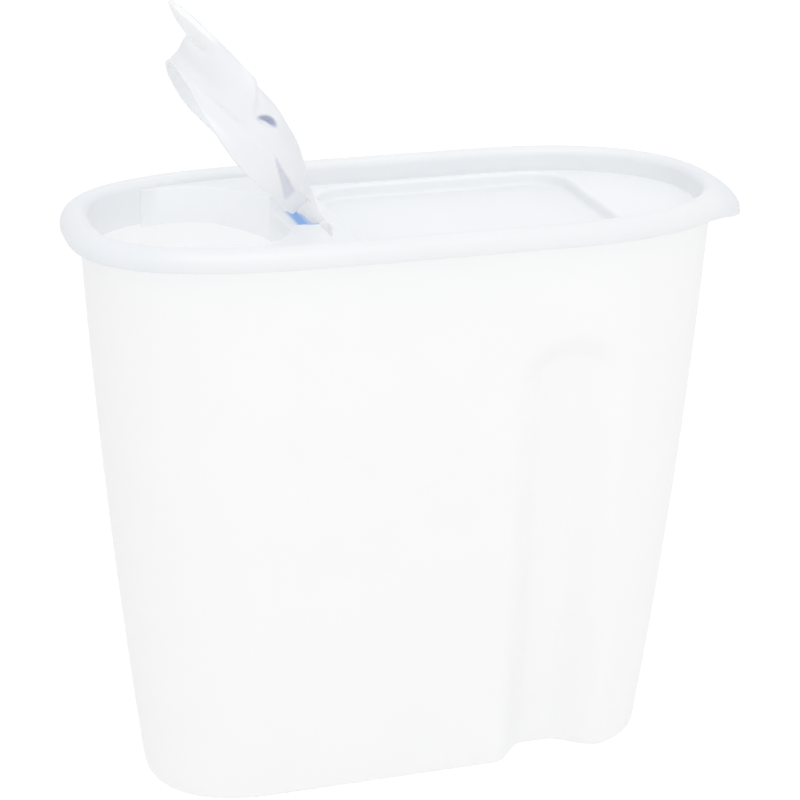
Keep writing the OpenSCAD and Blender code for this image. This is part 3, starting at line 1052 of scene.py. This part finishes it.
@dataclass
class Mouth:
    """The wall around the pouring mouth, the ledge that the cover seats on and the hinge notch."""

    sizes: Sizes
    well_h: float = 18.5
    well_more: float = 1.5
    well_back: float = 2.5
    well_back_x: float = -78.0
    well_back_fade: float = 28.0
    well_reach: float = 63.0
    straight_half: float = 30.0
    straight_fade: float = 10.0
    ease: float = 0.9
    least_room: float = 0.35
    wall_part: float = 0.8
    ease_part: float = 0.4
    steps: int = 90
    # Painted shade in the crook of the hinge notch and along its brim, partly the deeper tint of
    # thick plastic, and painted light down the wall.
    brim_share: float = 0.9
    wall_light: float = 0.75

    def room(self, start: np.ndarray, way: np.ndarray) -> float:
        """Distance from start along way to the rim or to the ledge's back."""
        return float(self.sizes.room(start[None], way[None], -math.inf, self.sizes.back_x)[0])

    def edge(self, y: float, front: bool = False) -> tuple[np.ndarray, np.ndarray]:
        """A point of the mouth's edge and its outward direction.

        Args:
            y: Place across the width.
            front: Take the edge ahead of the widest place.

        Returns:
            The point and the unit direction.
        """
        o = self.sizes.mouth.inset(-self.sizes.cover_gap)
        p = o.front_power
        u = min(abs(y) / o.half_wid, 1.0)
        dx = o.half_len * (1 - u**p) ** (1 / p) * (-1 if front else 1)
        gx = np.sign(dx) * (abs(dx) / o.half_len) ** (p - 1) / o.half_len
        gy = np.sign(y) * u ** (p - 1) / o.half_wid
        way = np.array([gx, gy]) / math.hypot(gx, gy)
        straight = float(eased(abs(y), self.straight_half, self.straight_half - self.straight_fade))
        way = way * (1 - straight) + np.array([1.0, 0.0]) * straight
        return np.array([o.mid + dx, y]), way / np.linalg.norm(way)

    def section(
        self, a: np.ndarray, way: np.ndarray, top: float, solid: bool = False, hung: float = 0.0,
    ) -> Ring:
        """One section of the ledge and the mouth's wall.

        Args:
            a: Point on the mouth's edge.
            way: Outward direction there.
            top: Height of the ledge's top.
            solid: Fill the hollow under the ledge, as at an end wall.
            hung: How far the outer edge hangs below the ledge's plate.

        Returns:
            The section's points.
        """
        s = self.sizes
        room = max(self.room(a, way), self.least_room)
        t, ease = min(s.lid_t, self.wall_part * room), min(self.ease, self.ease_part * room)
        deeper = float(eased(a[0], self.well_back_x, self.well_back_x + self.well_back_fade))
        foot_z = s.total_h - self.well_h - self.well_more - self.well_back * deeper
        under = top - s.lid_t
        drop = s.deck_z - s.lid_t if solid else under - HAIR
        edge_z = min(under - hung, drop + HAIR)
        back = max(room - (s.lid_t if hung > 0.5 or solid else 2 * HAIR), t + HAIR)
        flat = [(mix(ease, room, u), top) for u in (1.0, 0.8, 0.6, 0.4, 0.2)]
        flat += arc((ease, top - ease), ease, 90, 180, 5)
        flat += arc((t / 2, foot_z + t / 2), t / 2, 180, 360, 6)
        flat += [(t, drop), (t + 2 * HAIR, drop), (back - HAIR, drop)]
        flat += [(back, edge_z), (room, edge_z)]
        return np.array([[a[0] + way[0] * u, a[1] + way[1] * u, z] for u, z in flat])

    def side(self, sign: float) -> list[Ring]:
        """Sections of one side's ledge, from the notch to the front end.

        Args:
            sign: 1 for the far side, -1 for the near side.

        Returns:
            The sections in order.
        """
        s = self.sizes
        o = s.mouth.inset(-s.cover_gap)
        sections = []
        for k, y in enumerate(np.linspace(s.notch_half, o.half_wid * 0.999, self.steps)):
            a, way = self.edge(y)
            corner = a[0] + way[0] * self.room(a, way)
            hung = (s.ledge_z - s.deck_z) * float(eased(corner, s.back_x - 1.5, s.back_x - 0.5))
            sections.append(self.section(a, way, s.ledge_z, k < 2, hung))
        x, front_x = o.mid, -s.hinge_x - self.well_reach
        while x > front_x:
            x -= 1.0
            a, way = self.edge(float(o.half_width(max(x, front_x))), front=True)
            sections.append(self.section(a, way, s.ledge_z))
        flipped = [ring * [1.0, sign, 1.0] for ring in sections]
        return flipped if sign > 0 else flipped[::-1]

    def notch(self) -> list[Ring]:
        """Sections of the low wall and floor under the cover's tongue.

        Returns:
            The sections in order.
        """
        s, way = self.sizes, np.array([1.0, 0.0])
        across = np.linspace(-s.notch_half, s.notch_half, 41)
        return [self.section(self.edge(y)[0], way, s.deck_z) for y in across]

    def build(self) -> bpy.types.Object:
        """Makes both sides and the notch between them.

        Returns:
            The mouth's object.
        """
        draft = MeshDraft()
        for part in (self.side(1.0), self.side(-1.0), self.notch()):
            draft.shell(part)
        return draft.build("pouring_mouth_surround", 40.0, self.sizes.placed, self.painted_shading)

    def painted_shading(self, points: np.ndarray) -> Share:
        """Share of painted shading: painted shade in the crook of the hinge notch and along its
        brim, painted light down the wall.

        Args:
            points: The mouth's points, one a row.

        Returns:
            The share at each point, below 0 where light is painted.
        """
        s = self.sizes
        x, y, z = points.T
        behind, off = x + s.hinge_x, np.abs(y) - s.notch_half
        on_floor = eased(z, s.deck_z + 1.0, s.deck_z + 0.1)
        on_floor *= eased(z, s.deck_z - s.lid_t, s.deck_z - s.lid_t + 0.5)
        crook = on_floor * eased(behind, -8.0, -6.0) * eased(off, 0.2, 0.0)
        brim = eased(off, 1.8, 0.6) * eased(behind, -9.0, -6.0)
        brim *= eased(z, s.ledge_z - 0.5, s.ledge_z - 0.1)
        wall = eased(z, s.ledge_z - 0.3, s.ledge_z - 0.7) * (1 - on_floor)
        shaded = np.maximum(crook, self.brim_share * brim)
        return np.clip(shaded - self.wall_light * wall, -1.0, 1.0)


@dataclass
class HingeEars:
    """The two ears that hold the cover's pins, set out by Geometry Nodes."""

    sizes: Sizes
    plastic: bpy.types.Material
    ear_r: float = 2.8
    bore_r: float = 1.66
    ease: float = 0.35
    steps: int = 72

    def outline(self) -> np.ndarray:
        """The ear's outline about the hinge axis: round on top, straight down to the deck.

        Returns:
            Points of x and z.
        """
        s = self.sizes
        outer = []
        for x, z in arc((0, 0), self.ear_r, 0, 360, self.steps)[:-1]:
            if z < 0:
                z = max(-(s.deck_drop - s.hinge_drop), z * 6.0)
                x = math.copysign(self.ear_r, x) if z < -0.4 else x
            outer.append((x, z))
        return np.array(outer)

    def ear(self) -> bpy.types.Object:
        """Makes one ear about the hinge axis, with a bore and eased edges.

        Returns:
            The ear's object.
        """
        half, e = self.sizes.ear_t / 2, self.ease
        rim = self.outline()
        bore = np.array(arc((0, 0), self.bore_r, 0, 360, self.steps)[:-1])

        def loop(flat: np.ndarray, y: float, grow: float = 0.0) -> Ring:
            """An outline about the hinge axis.

            Args:
                flat: Its points of x and z.
                y: Its place across the width.
                grow: How far it is grown outward.

            Returns:
                The ring's points.
            """
            size = np.linalg.norm(flat, axis=1)[:, None]
            p = flat * (size + grow) / size
            return np.column_stack([p[:, 0], np.full(len(p), y), p[:, 1]])

        draft = MeshDraft()
        draft.shell([
            loop(bore, half), loop(rim, half, -e), loop(rim, half - e),
            loop(rim, -half + e), loop(rim, -half, -e), loop(bore, -half),
        ], capped=False, looped=True)
        return draft.build("hinge_ear_pair", 40.0)

    @staticmethod
    def line_tree() -> tuple[bpy.types.NodeTree, dict[str, str]]:
        """Builds the tree that sets copies of an ear out across the hinge line.

        Returns:
            The tree, and the identifier of each of its inputs by name.
        """
        tree = bpy.data.node_groups.new("ears_on_hinge_line", "GeometryNodeTree")
        sockets = {}
        for label, kind in (
            ("Ear", "Geometry"), ("Spread", "Float"), ("Count", "Int"), ("Plastic", "Material"),
        ):
            made = tree.interface.new_socket(label, in_out="INPUT", socket_type="NodeSocket" + kind)
            sockets[label] = made.identifier
        tree.interface.new_socket("Pair", in_out="OUTPUT", socket_type="NodeSocketGeometry")
        start, end = tree.nodes.new("NodeGroupInput"), tree.nodes.new("NodeGroupOutput")
        first, step = (tree.nodes.new("ShaderNodeCombineXYZ") for _ in range(2))
        line = tree.nodes.new("GeometryNodeMeshLine")
        instances = tree.nodes.new("GeometryNodeInstanceOnPoints")
        realize = tree.nodes.new("GeometryNodeRealizeInstances")
        dressed = tree.nodes.new("GeometryNodeSetMaterial")
        spread = start.outputs["Spread"]
        wire(
            tree,
            (math_node(tree, "MULTIPLY", spread, -0.5), first.inputs["Y"]),
            (spread, step.inputs["Y"]),
            (start.outputs["Count"], line.inputs["Count"]),
            (first.outputs[0], line.inputs["Start Location"]),
            (step.outputs[0], line.inputs["Offset"]),
            (line.outputs["Mesh"], instances.inputs["Points"]),
            (start.outputs["Ear"], instances.inputs["Instance"]),
            (instances.outputs["Instances"], realize.inputs["Geometry"]),
            (realize.outputs["Geometry"], dressed.inputs["Geometry"]),
            (start.outputs["Plastic"], dressed.inputs["Material"]),
            (dressed.outputs["Geometry"], end.inputs["Pair"]),
        )
        return tree, sockets

    def build(self) -> bpy.types.Object:
        """Makes the pair of ears.

        Returns:
            One object that holds both ears.
        """
        s = self.sizes
        pair = self.ear()
        tree, sockets = self.line_tree()
        modifier = pair.modifiers.new("ears", "NODES")
        modifier.node_group = tree
        modifier[sockets["Spread"]] = (s.barrel_len + 2 * s.ear_gap + s.ear_t) * MM
        modifier[sockets["Count"]] = 2
        modifier[sockets["Plastic"]] = self.plastic
        bpy.context.view_layer.update()
        evaluated = pair.evaluated_get(bpy.context.evaluated_depsgraph_get())
        mesh = bpy.data.meshes.new_from_object(evaluated)
        pair.modifiers.clear()
        pair.data = mesh
        middle = s.placed(np.array([[-s.hinge_x, 0.0, s.hinge_z]]))[0] * MM
        for vertex in mesh.vertices:
            vertex.co += Vector(middle)
        return pair


# ---------------------------------------------------------------- the flip cover


@dataclass(frozen=True)
class CoverRelief:
    """What is sunk into the cover's surface, by distance s from the hinge and height t above it."""

    side_y: float = 30.0
    side_fade: float = 6.0
    shoulder_depth: float = 1.8
    shoulder_s: float = 33.0
    shoulder_fade: float = 12.0
    shoulder_t: float = 8.0
    shoulder_deep_s: float = 52.0
    shoulder_near_part: float = 0.5
    panel_s: float = 62.5
    panel_bend: float = 5.4
    panel_t: float = 7.0
    panel_high: float = 12.6
    panel_step: float = 2.2
    hem_depth: float = 0.6
    hem_s: float = 62.0
    hem_top: float = 7.0
    hem_slope: float = 0.08
    dimple_depth: float = 2.4
    dimple_s: float = 56.6
    dimple_t: float = 14.2
    dimple_long: float = 4.6
    dimple_high: float = 1.7
    dimple_tilt: float = 0.27
    dimple_bend: float = 0.055
    pocket_depth: float = 1.0
    pocket_tip: float = 46.0
    pocket_back: float = 27.5
    pocket_len: float = 16.0
    pocket_top: float = 6.0
    pocket_half: float = 2.1
    pocket_tip_half: float = 0.3
    # Share of painted shade in the pocket, the shade beneath the bead's overhang.
    pocket_shade: float = 0.4

    def side(self, y: np.ndarray) -> Share:
        """Share of the cover's two sides, where the carvings lie, at each y across."""
        return eased(np.abs(y), self.side_y, self.side_y + self.side_fade)

    def shoulder(self, s: np.ndarray, t: np.ndarray) -> Share:
        """Share of the low shoulder behind the raised front panel.

        Args:
            s: Distance forward of the hinge.
            t: Height above the hinge axis.

        Returns:
            The share at each point.
        """
        up = np.clip((t - self.panel_t) / self.panel_high, 0.0, 1.0)
        edge = self.panel_s + self.panel_bend * up**2
        deeper = eased(s, self.shoulder_deep_s, self.shoulder_deep_s + 6.0)
        behind = mix(self.shoulder_near_part, 1.0, deeper)
        start = eased(s, self.shoulder_s, self.shoulder_s + self.shoulder_fade)
        step = eased(s, edge + self.panel_step, edge - self.panel_step)
        return start * behind * step * eased(t, self.shoulder_t, self.shoulder_t + 6.0)

    def hem(self, s: np.ndarray, t: np.ndarray) -> Share:
        """Share of the plain band below the raised front panel.

        Args:
            s: Distance forward of the hinge.
            t: Height above the hinge axis.

        Returns:
            The share at each point.
        """
        top = self.hem_top - self.hem_slope * (s - self.hem_s)
        start = eased(s, self.hem_s - 2.0, self.hem_s + 4.0)
        return start * eased(t, top, top - 2.0) * eased(t, -3.5, -0.5)

    def dimple(self, s: np.ndarray, t: np.ndarray) -> Share:
        """Share of the shoulder's half-moon dimple.

        Args:
            s: Distance forward of the hinge.
            t: Height above the hinge axis.

        Returns:
            The share at each point.
        """
        along = s - self.dimple_s
        up = t - self.dimple_t + self.dimple_tilt * along + self.dimple_bend * along**2
        return eased(np.hypot(along / self.dimple_long, up / self.dimple_high), 2 / 1.8, 1 / 1.8)

    def pocket(self, s: np.ndarray, t: np.ndarray) -> Share:
        """Share of the three-cornered pocket behind the side.

        Args:
            s: Distance forward of the hinge.
            t: Height above the hinge axis.

        Returns:
            The share at each point.
        """
        along = np.clip((self.pocket_tip - s) / self.pocket_len, 0.0, 1.0)
        off = np.abs(t - self.pocket_top * (1 - along))
        wide = eased(self.pocket_tip_half + self.pocket_half * along - off, -0.36, 0.54)
        back = eased(s, self.pocket_back, self.pocket_back + 2.0)
        return wide * back * eased(s, self.pocket_tip + 0.5, self.pocket_tip - 1.5)

    def depth(self, s: np.ndarray, y: np.ndarray, t: np.ndarray) -> np.ndarray:
        """How far to sink each point.

        Args:
            s: Distance forward of the hinge.
            y: Place across the width.
            t: Height above the hinge axis.

        Returns:
            The depth at each point, in millimetres.
        """
        carved = self.dimple_depth * self.dimple(s, t) + self.pocket_depth * self.pocket(s, t)
        raised = self.shoulder_depth * self.shoulder(s, t) + self.hem_depth * self.hem(s, t)
        return raised + carved * self.side(y)

    def shade(self, s: np.ndarray, y: np.ndarray, t: np.ndarray) -> Share:
        """Share of painted shade in the carvings: full in the dimple, less in the pocket.

        Args:
            s: Distance forward of the hinge.
            y: Place across the width.
            t: Height above the hinge axis.

        Returns:
            The share at each point.
        """
        return self.side(y) * (self.dimple(s, t) + self.pocket_shade * self.pocket(s, t))


@dataclass
class FlipCover:
    """The domed cover: skirt, seat bead, raised front panel, thumb lip and shoulder dimples."""

    sizes: Sizes
    relief: CoverRelief = CoverRelief()
    top: float = 21.6
    skirt: float = 4.5
    belly: float = 1.7
    rise: float = 7.1
    rise_len: float = 33.2
    slope: float = 46.0
    side_slope: float = 12.0
    wall: float = 1.6
    edge_round: float = 0.3
    cap_steps: tuple[float, ...] = (1.5, 4.0, 8.0, 12.5)
    lining_steps: tuple[float, ...] = (2.5, 6.0, 11.0)
    bead_out: float = 1.5
    bead_h: float = 1.6
    bead_fade: float = 9.0
    bead_reach: float = 31.0
    lip_reach: float = 16.0
    lip_w: float = 30.0
    lip_root: float = 7.2
    lip_edge: float = 2.0
    lip_blend: float = 20.0
    lip_dip: float = 1.6
    lip_powers: tuple[float, float] = (1.8, 0.6)
    waist_s: float = 70.0
    waist_fade: float = 14.0
    waist_lean: float = 0.9
    waist_lean_t: float = 7.5
    waist_dent: float = 1.0
    waist_dent_t: float = 6.5
    waist_dent_high: float = 3.5
    # Painted shade over the dome's side, and painted light at the thumb lip and on the lining.
    dome_shade: float = 0.035
    thumb_light: float = 0.9
    lining_light: float = 0.6
    points: int = 420

    @property
    def bead_t0(self) -> float:
        """Height of the bead's underside above the hinge axis."""
        return self.sizes.hinge_drop - self.sizes.ledge_drop + self.sizes.rim_gap

    @property
    def bead_t1(self) -> float:
        """Height of the bead's top above the hinge axis."""
        return self.bead_t0 + self.bead_h

    def dome(self, t: float) -> float:
        """How far the cover has sloped in at height t, from 0 to 1."""
        up = (t - self.bead_t1) / (self.top - self.bead_t1)
        return 1 - math.sqrt(1 - min(max(up, 0.0), 1.0))

    def lip(self, t: float, y: np.ndarray) -> Share:
        """How much of the thumb lip's reach shows.

        Args:
            t: Height above the hinge axis.
            y: Places across the width.

        Returns:
            The share at each place.
        """
        up = (t - self.top + self.lip_root) / (self.lip_root - self.lip_edge)
        wide, blend = self.lip_w / 2, self.lip_blend / 2
        share = eased(np.abs(y), wide + blend, wide - blend)
        return min(max(up, 0.0), 1.0) ** mix(*self.lip_powers, share) * share

    def skirt_edge(self, s: np.ndarray) -> np.ndarray:
        """Height of the skirt's edge above where a flat one would be.

        Args:
            s: Distance forward of the hinge.

        Returns:
            The height at each place, below 0 at the belly.
        """
        k = self.sizes
        rise_s = k.cover_start + k.cover_len - self.rise_len
        front = np.maximum((s - rise_s) / self.rise_len, 0.0) ** 1.5
        sag = np.maximum(1 - ((s - k.cover_mid) / k.cover_half) ** 2, 0.0)
        return self.rise * front - self.belly * sag

    def waist(self, s: np.ndarray, z: np.ndarray) -> np.ndarray:
        """How far the front wall draws in, most under the thumb lip.

        Args:
            s: Distance forward of the hinge.
            z: Height above the hinge axis.

        Returns:
            The distance at each point.
        """
        lean = self.waist_lean * eased(z, self.waist_lean_t + 8.0, self.waist_lean_t)
        dent = np.exp(-(((z - self.waist_dent_t) / self.waist_dent_high) ** 2))
        reach = eased(s, self.waist_s, self.waist_s + self.waist_fade)
        return (lean + self.waist_dent * dent) * reach

    def painted_shading(self, points: np.ndarray) -> Share:
        """Share of painted shading: a little painted shade over the dome, most in the carvings,
        painted light at the thumb lip.

        Args:
            points: Points of the closed cover, one a row.

        Returns:
            The share at each point, below 0 where light is painted.
        """
        x, y, t = points.T
        dome = self.dome_shade * eased(t, 4.5, 6.5) * eased(t, 19.0, 15.0)
        thumb = self.thumb_light * eased(-x, 84.0, 90.0) * eased(t, 10.0, 14.0)
        return np.clip(dome + self.relief.shade(-x, y, t) - thumb, -1.0, 1.0)

    def ring(
        self, t: float, d: float = 0.0, bead: float = 0.0, edge: float = 0.0, lip: bool = True,
    ) -> Ring:
        """The closed cover's outline at height t, with the hinge axis at the origin.

        Args:
            t: Height above the hinge axis.
            d: Distance inside the outer surface.
            bead: Share of the seat bead's reach.
            edge: 1 on the skirt's edge, which is bellied.
            lip: Include the thumb lip.

        Returns:
            The ring's points.
        """
        k = self.sizes
        slope = self.dome(min(t + d, self.top))
        s0, s1 = k.cover_start + self.slope * slope, k.cover_start + k.cover_len
        half, side = (s1 - s0) / 2, k.cover_w / 2 - self.side_slope * slope
        p = k.cover_power
        o = Oval((s0 + s1) / 2, half, side, half, p, half, p).inset(d)
        s, y = o.outline(self.points).T
        carried = np.where(s > o.mid, self.lip(t, y), 0.0) if lip and d == 0 else np.zeros(len(s))
        out = bead * self.bead_out * eased(s, self.bead_reach, self.bead_reach - self.bead_fade)
        ray = np.column_stack([(s - o.mid) / (half * half), y / (side * side)])
        ray *= out[:, None] / np.linalg.norm(ray, axis=1)[:, None]
        z = t + edge * self.skirt_edge(s) - self.lip_dip * carried
        s = s - self.waist(s, z) + self.lip_reach * carried
        return np.column_stack([-(s + ray[:, 0]), -(y + ray[:, 1]), z])

    def sunk(self, rings: list[Ring]) -> list[Ring]:
        """Sinks the relief into a stack of rings along their normals.

        Args:
            rings: Rings of one surface, from the bottom up.

        Returns:
            The rings with the relief in them.
        """
        grid = np.array(rings)
        along = np.roll(grid, -1, axis=1) - np.roll(grid, 1, axis=1)
        normal = np.cross(along, np.gradient(grid, axis=0))
        size = np.linalg.norm(normal, axis=2, keepdims=True)
        depth = self.relief.depth(-grid[:, :, 0], grid[:, :, 1], grid[:, :, 2])
        return list(grid - normal / np.maximum(size, 1e-9) * depth[:, :, None])

    def outside(self) -> list[Ring]:
        """Rings over the outside.

        Returns:
            The rings, from the skirt's edge to the flat top.
        """
        t0, t1, e, low = self.bead_t0, self.bead_t1, self.edge_round, self.edge_round - self.skirt
        eased_bead = 1 - e / self.bead_out
        rings = [self.ring(low, edge=1)]
        rings += [self.ring(mix(low, t0, u), edge=1 - u) for u in np.linspace(0, 1, 16)[1:]]
        rings += [self.ring(t0 + 2 * HAIR, bead=eased_bead), self.ring(t0 + e, bead=1)]
        rings += [self.ring(t1 - e, bead=1), self.ring(t1 - 2 * HAIR, bead=eased_bead)]
        rings += [self.ring(t1)]
        ups = np.linspace(0.0, 1.0, 54)[1:]
        rings += [self.ring(mix(t1, self.top, 1 - (1 - u) ** 2)) for u in ups]
        return rings + [self.ring(self.top, d, lip=False) for d in self.cap_steps]

    def lining(self) -> tuple[list[Ring], list[Ring]]:
        """Rings over the inside.

        Returns:
            The dome's rings going up, and the skirt's going down.
        """
        t1, wall, roof = self.bead_t1, self.wall, self.top - self.wall
        downs = np.linspace(0.0, 1.0, 30)
        dome = [self.ring(mix(t1, roof, 1 - u**2), wall) for u in downs[::-1]]
        dome += [self.ring(roof, wall + d, lip=False) for d in self.lining_steps]
        low = self.edge_round - self.skirt
        skirt = [self.ring(mix(t1, low, u), wall, edge=u) for u in np.linspace(0, 1, 10)[1:]]
        return dome, skirt

    def build(self) -> bpy.types.Object:
        """Makes the cover as one closed hollow shell.

        Returns:
            The cover's object, standing open.
        """
        e = self.edge_round
        dome, skirt = self.lining()
        inside = self.sunk(dome)[::-1] + skirt
        edge = [self.ring(-self.skirt, d, edge=1) for d in (self.wall / 2 + e, e)]
        draft = MeshDraft()
        draft.shell(inside + edge + self.sunk(self.outside()))
        lining = len(inside) * self.points
        # Painted light on the lining. The outside takes the cover's painted shade and painted
        # light.
        return draft.build(
            "flip_cover_dome", 50.0, self.sizes.opened,
            lambda points: np.where(
                np.arange(len(points)) < lining, -self.lining_light, self.painted_shading(points)
            ),
        )


@dataclass
class HingeBarrel:
    """The barrel, its two pins and the tongue that joins them to the cover."""

    sizes: Sizes
    barrel_r: float = 2.6
    pin_r: float = 1.6
    pin_ease: float = 0.2
    tongue_half: float = 2.0
    tongue_mid: float = 0.4
    knob_h: float = 4.6
    knob_r: float = 4.5
    ease: float = 0.4
    overlap: float = 0.4

    def turned(self, draft: MeshDraft, radius: float, y0: float, y1: float, ease: float) -> None:
        """Adds a round bar along the hinge axis with eased ends.

        Args:
            draft: The mesh it goes into.
            radius: Radius of the bar.
            y0: Its end on the near side.
            y1: Its end on the far side.
            ease: Size of the eased edge at each end.
        """
        circle = np.array(arc((0, 0), 1.0, 0, 360, 48)[:-1])
        ends = [(radius - ease, y0), (radius, y0 + ease), (radius, y1 - ease), (radius - ease, y1)]
        draft.shell([
            np.column_stack([r * circle[:, 0], np.full(len(circle), y), r * circle[:, 1]])
            for r, y in ends
        ])

    def tongue_section(self, y: float) -> Ring:
        """One section of the tongue, which swells toward the cover and rounds off at its sides.

        Args:
            y: Place across the width.

        Returns:
            The section's points.
        """
        s, half, mid = self.sizes, self.tongue_half, self.tongue_mid
        p = s.cover_power
        wall = s.cover_half * (1 - (abs(y) / (s.cover_w / 2)) ** p) ** (1 / p)
        back = s.cover_mid - wall + self.overlap
        past = max(abs(y) - s.barrel_len / 2 + self.knob_r, 0.0) / self.knob_r
        low = [(0.0, -half - 0.4), (0.7 * back, -half - 0.6), (back, -half - 0.8)]
        ups = np.linspace(1.0, 0.0, 12)
        flat = np.array(low + [(u * back, half + 0.4 + self.knob_h * u**1.6) for u in ups])
        flat[:, 1] = mid + (flat[:, 1] - mid) * mix(0.2, 1.0, math.sqrt(max(1 - past**2, 0.0)))
        return np.column_stack([-flat[:, 0], np.full(len(flat), y), flat[:, 1]])[::-1]

    def build(self) -> bpy.types.Object:
        """Makes the barrel, pins and tongue.

        Returns:
            The barrel's object, standing open.
        """
        s = self.sizes
        half = s.barrel_len / 2
        tip = half + s.ear_gap + s.ear_t
        draft = MeshDraft()
        self.turned(draft, self.barrel_r, -half, half, self.ease)
        self.turned(draft, self.pin_r, half - 0.1, tip, self.pin_ease)
        self.turned(draft, self.pin_r, -tip, -half + 0.1, self.pin_ease)
        across = half * np.sin(np.linspace(-math.pi / 2, math.pi / 2, 49))
        draft.shell([self.tongue_section(y) for y in across])
        return draft.build("hinge_barrel_tongue", 40.0, s.opened)


# ---------------------------------------------------------------- the setting


@dataclass(frozen=True)
class SoftLamp:
    """A soft square lamp aimed at the keeper, in metres and watts."""

    name: str
    place: Point
    size: float
    power: float

    def build(self, aim: Point) -> None:
        """Adds the lamp.

        Args:
            aim: The point it is turned to.
        """
        data = bpy.data.lights.new(self.name, "AREA")
        data.shape, data.size, data.energy = "SQUARE", self.size, self.power
        stand_at(bpy.data.objects.new(self.name, data), self.place, aim)


def stand_at(obj: bpy.types.Object, place: Point, aim: Point) -> None:
    """Puts a lamp or camera in the scene, turned to a point.

    Args:
        obj: The lamp or camera.
        place: Where it stands, in metres.
        aim: The point it is turned to.
    """
    bpy.context.scene.collection.objects.link(obj)
    obj.location = place
    obj.rotation_euler = (Vector(aim) - Vector(place)).to_track_quat("-Z", "Y").to_euler()


@dataclass
class Studio:
    """The pale floor, the soft light and the camera."""

    floor_half: float = 6.0
    floor_tone: Colour = (0.97, 0.97, 0.97)
    floor_lift: float = 0.18
    sky_light: float = 0.86
    sky_backdrop: float = 1.0
    eye: Point = (-0.24525, -0.8461, 0.4931)
    aim: Point = (-0.00275, 0.0, 0.12526)
    lens: float = 99.34
    shift: tuple[float, float] = (-0.0015, 0.0916)
    lamps: tuple[SoftLamp, ...] = (
        SoftLamp("key_soft", (-0.2, -0.8, 2.3), 1.4, 10.0),
        SoftLamp("fill_soft", (0.6, -2.0, 1.0), 1.6, 2.0),
    )

    def floor(self) -> bpy.types.Object:
        """Makes a plain pale floor, lifted to the backdrop's white only for the camera.

        Returns:
            The floor's object.
        """
        h = self.floor_half
        mesh = bpy.data.meshes.new("studio_floor")
        mesh.from_pydata([(-h, -h, 0), (h, -h, 0), (h, h, 0), (-h, h, 0)], [], [(0, 1, 2, 3)])
        obj = bpy.data.objects.new("studio_floor", mesh)
        bpy.context.scene.collection.objects.link(obj)
        mat = bpy.data.materials.new("floor_white")
        mat.use_nodes = True
        tree = mat.node_tree
        shader = tree.nodes["Principled BSDF"]
        set_inputs(shader, {
            "Base Color": (*self.floor_tone, 1.0), "Roughness": 0.9, "Specular IOR Level": 0.0,
        })
        glow, path, both = (
            tree.nodes.new("ShaderNode" + kind) for kind in ("Emission", "LightPath", "AddShader")
        )
        lift = math_node(tree, "MULTIPLY", path.outputs["Is Camera Ray"], self.floor_lift)
        wire(
            tree,
            (lift, glow.inputs["Strength"]),
            (shader.outputs["BSDF"], both.inputs[0]),
            (glow.outputs["Emission"], both.inputs[1]),
            (both.outputs["Shader"], tree.nodes["Material Output"].inputs["Surface"]),
        )
        mesh.materials.append(mat)
        return obj

    def world(self) -> None:
        """White surroundings, a little dimmer as light than as backdrop."""
        world = bpy.data.worlds.new("studio_white")
        bpy.context.scene.world = world
        world.use_nodes = True
        tree = world.node_tree
        tree.nodes.clear()
        light, backdrop, path, pick, out = (
            tree.nodes.new("ShaderNode" + kind)
            for kind in ("Background", "Background", "LightPath", "MixShader", "OutputWorld")
        )
        for node, strength in ((light, self.sky_light), (backdrop, self.sky_backdrop)):
            set_inputs(node, {"Color": (1.0, 1.0, 1.0, 1.0), "Strength": strength})
        seen, through = path.outputs["Is Camera Ray"], path.outputs["Is Transmission Ray"]
        wire(
            tree,
            (math_node(tree, "MAXIMUM", seen, through), pick.inputs[0]),
            (light.outputs[0], pick.inputs[1]),
            (backdrop.outputs[0], pick.inputs[2]),
            (pick.outputs[0], out.inputs["Surface"]),
        )

    def camera(self) -> None:
        """The camera at the photograph's viewing angle."""
        data = bpy.data.cameras.new("camera")
        data.lens, data.sensor_width, data.clip_end = self.lens, 36.0, 50.0
        data.shift_x, data.shift_y = self.shift
        obj = bpy.data.objects.new("camera", data)
        stand_at(obj, self.eye, self.aim)
        bpy.context.scene.camera = obj

    def build(self) -> None:
        """Sets up the floor, lights and camera."""
        self.floor()
        self.world()
        for lamp in self.lamps:
            lamp.build(self.aim)
        self.camera()
        bpy.context.scene.view_settings.view_transform = "Standard"


# ---------------------------------------------------------------- assembly


def dress(
    obj: bpy.types.Object, body: str, material: bpy.types.Material,
    nodes: Sequence[str],
) -> None:
    """Gives a piece its plastic, its body and the nodes it stands for.

    Args:
        obj: The piece.
        body: The body it moves with.
        material: Its material.
        nodes: The nodes it stands for.
    """
    obj.data.materials.clear()
    obj.data.materials.append(material)
    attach(obj, body)
    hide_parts(*nodes)
    LOG.info("%s: %d faces on %s", obj.name, len(obj.data.polygons), body)


def main() -> None:
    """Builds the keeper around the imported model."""
    logging.basicConfig(level=logging.INFO, format="%(name)s: %(message)s")
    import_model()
    skin = MouldedSkin().group()
    plastics = {finish: plastic.material(skin) for finish, plastic in PLASTICS.items()}
    sizes = Sizes()
    for part, body, finish, nodes in (
        (Tub(sizes), "container", Finish.TUB, ("container_shell",)),
        (LidRim(sizes), "lid", Finish.LID, ("lid_rim",)),
        (LidDeck(sizes), "lid", Finish.LID, ("lid_deck", "sunken_panel")),
        (Mouth(sizes), "lid", Finish.LID, ("pouring_well", "seat_ledge")),
        (HingeEars(sizes, plastics[Finish.LID]), "lid", Finish.LID, ("hinge_ears",)),
        (FlipCover(sizes), "flip_cover", Finish.COVER, ("flip_cover",)),
        (HingeBarrel(sizes), "flip_cover", Finish.COVER, ("hinge_barrel",)),
    ):
        dress(part.build(), body, plastics[finish], nodes)
    Studio().build()


if __name__ == "__main__":
    main()
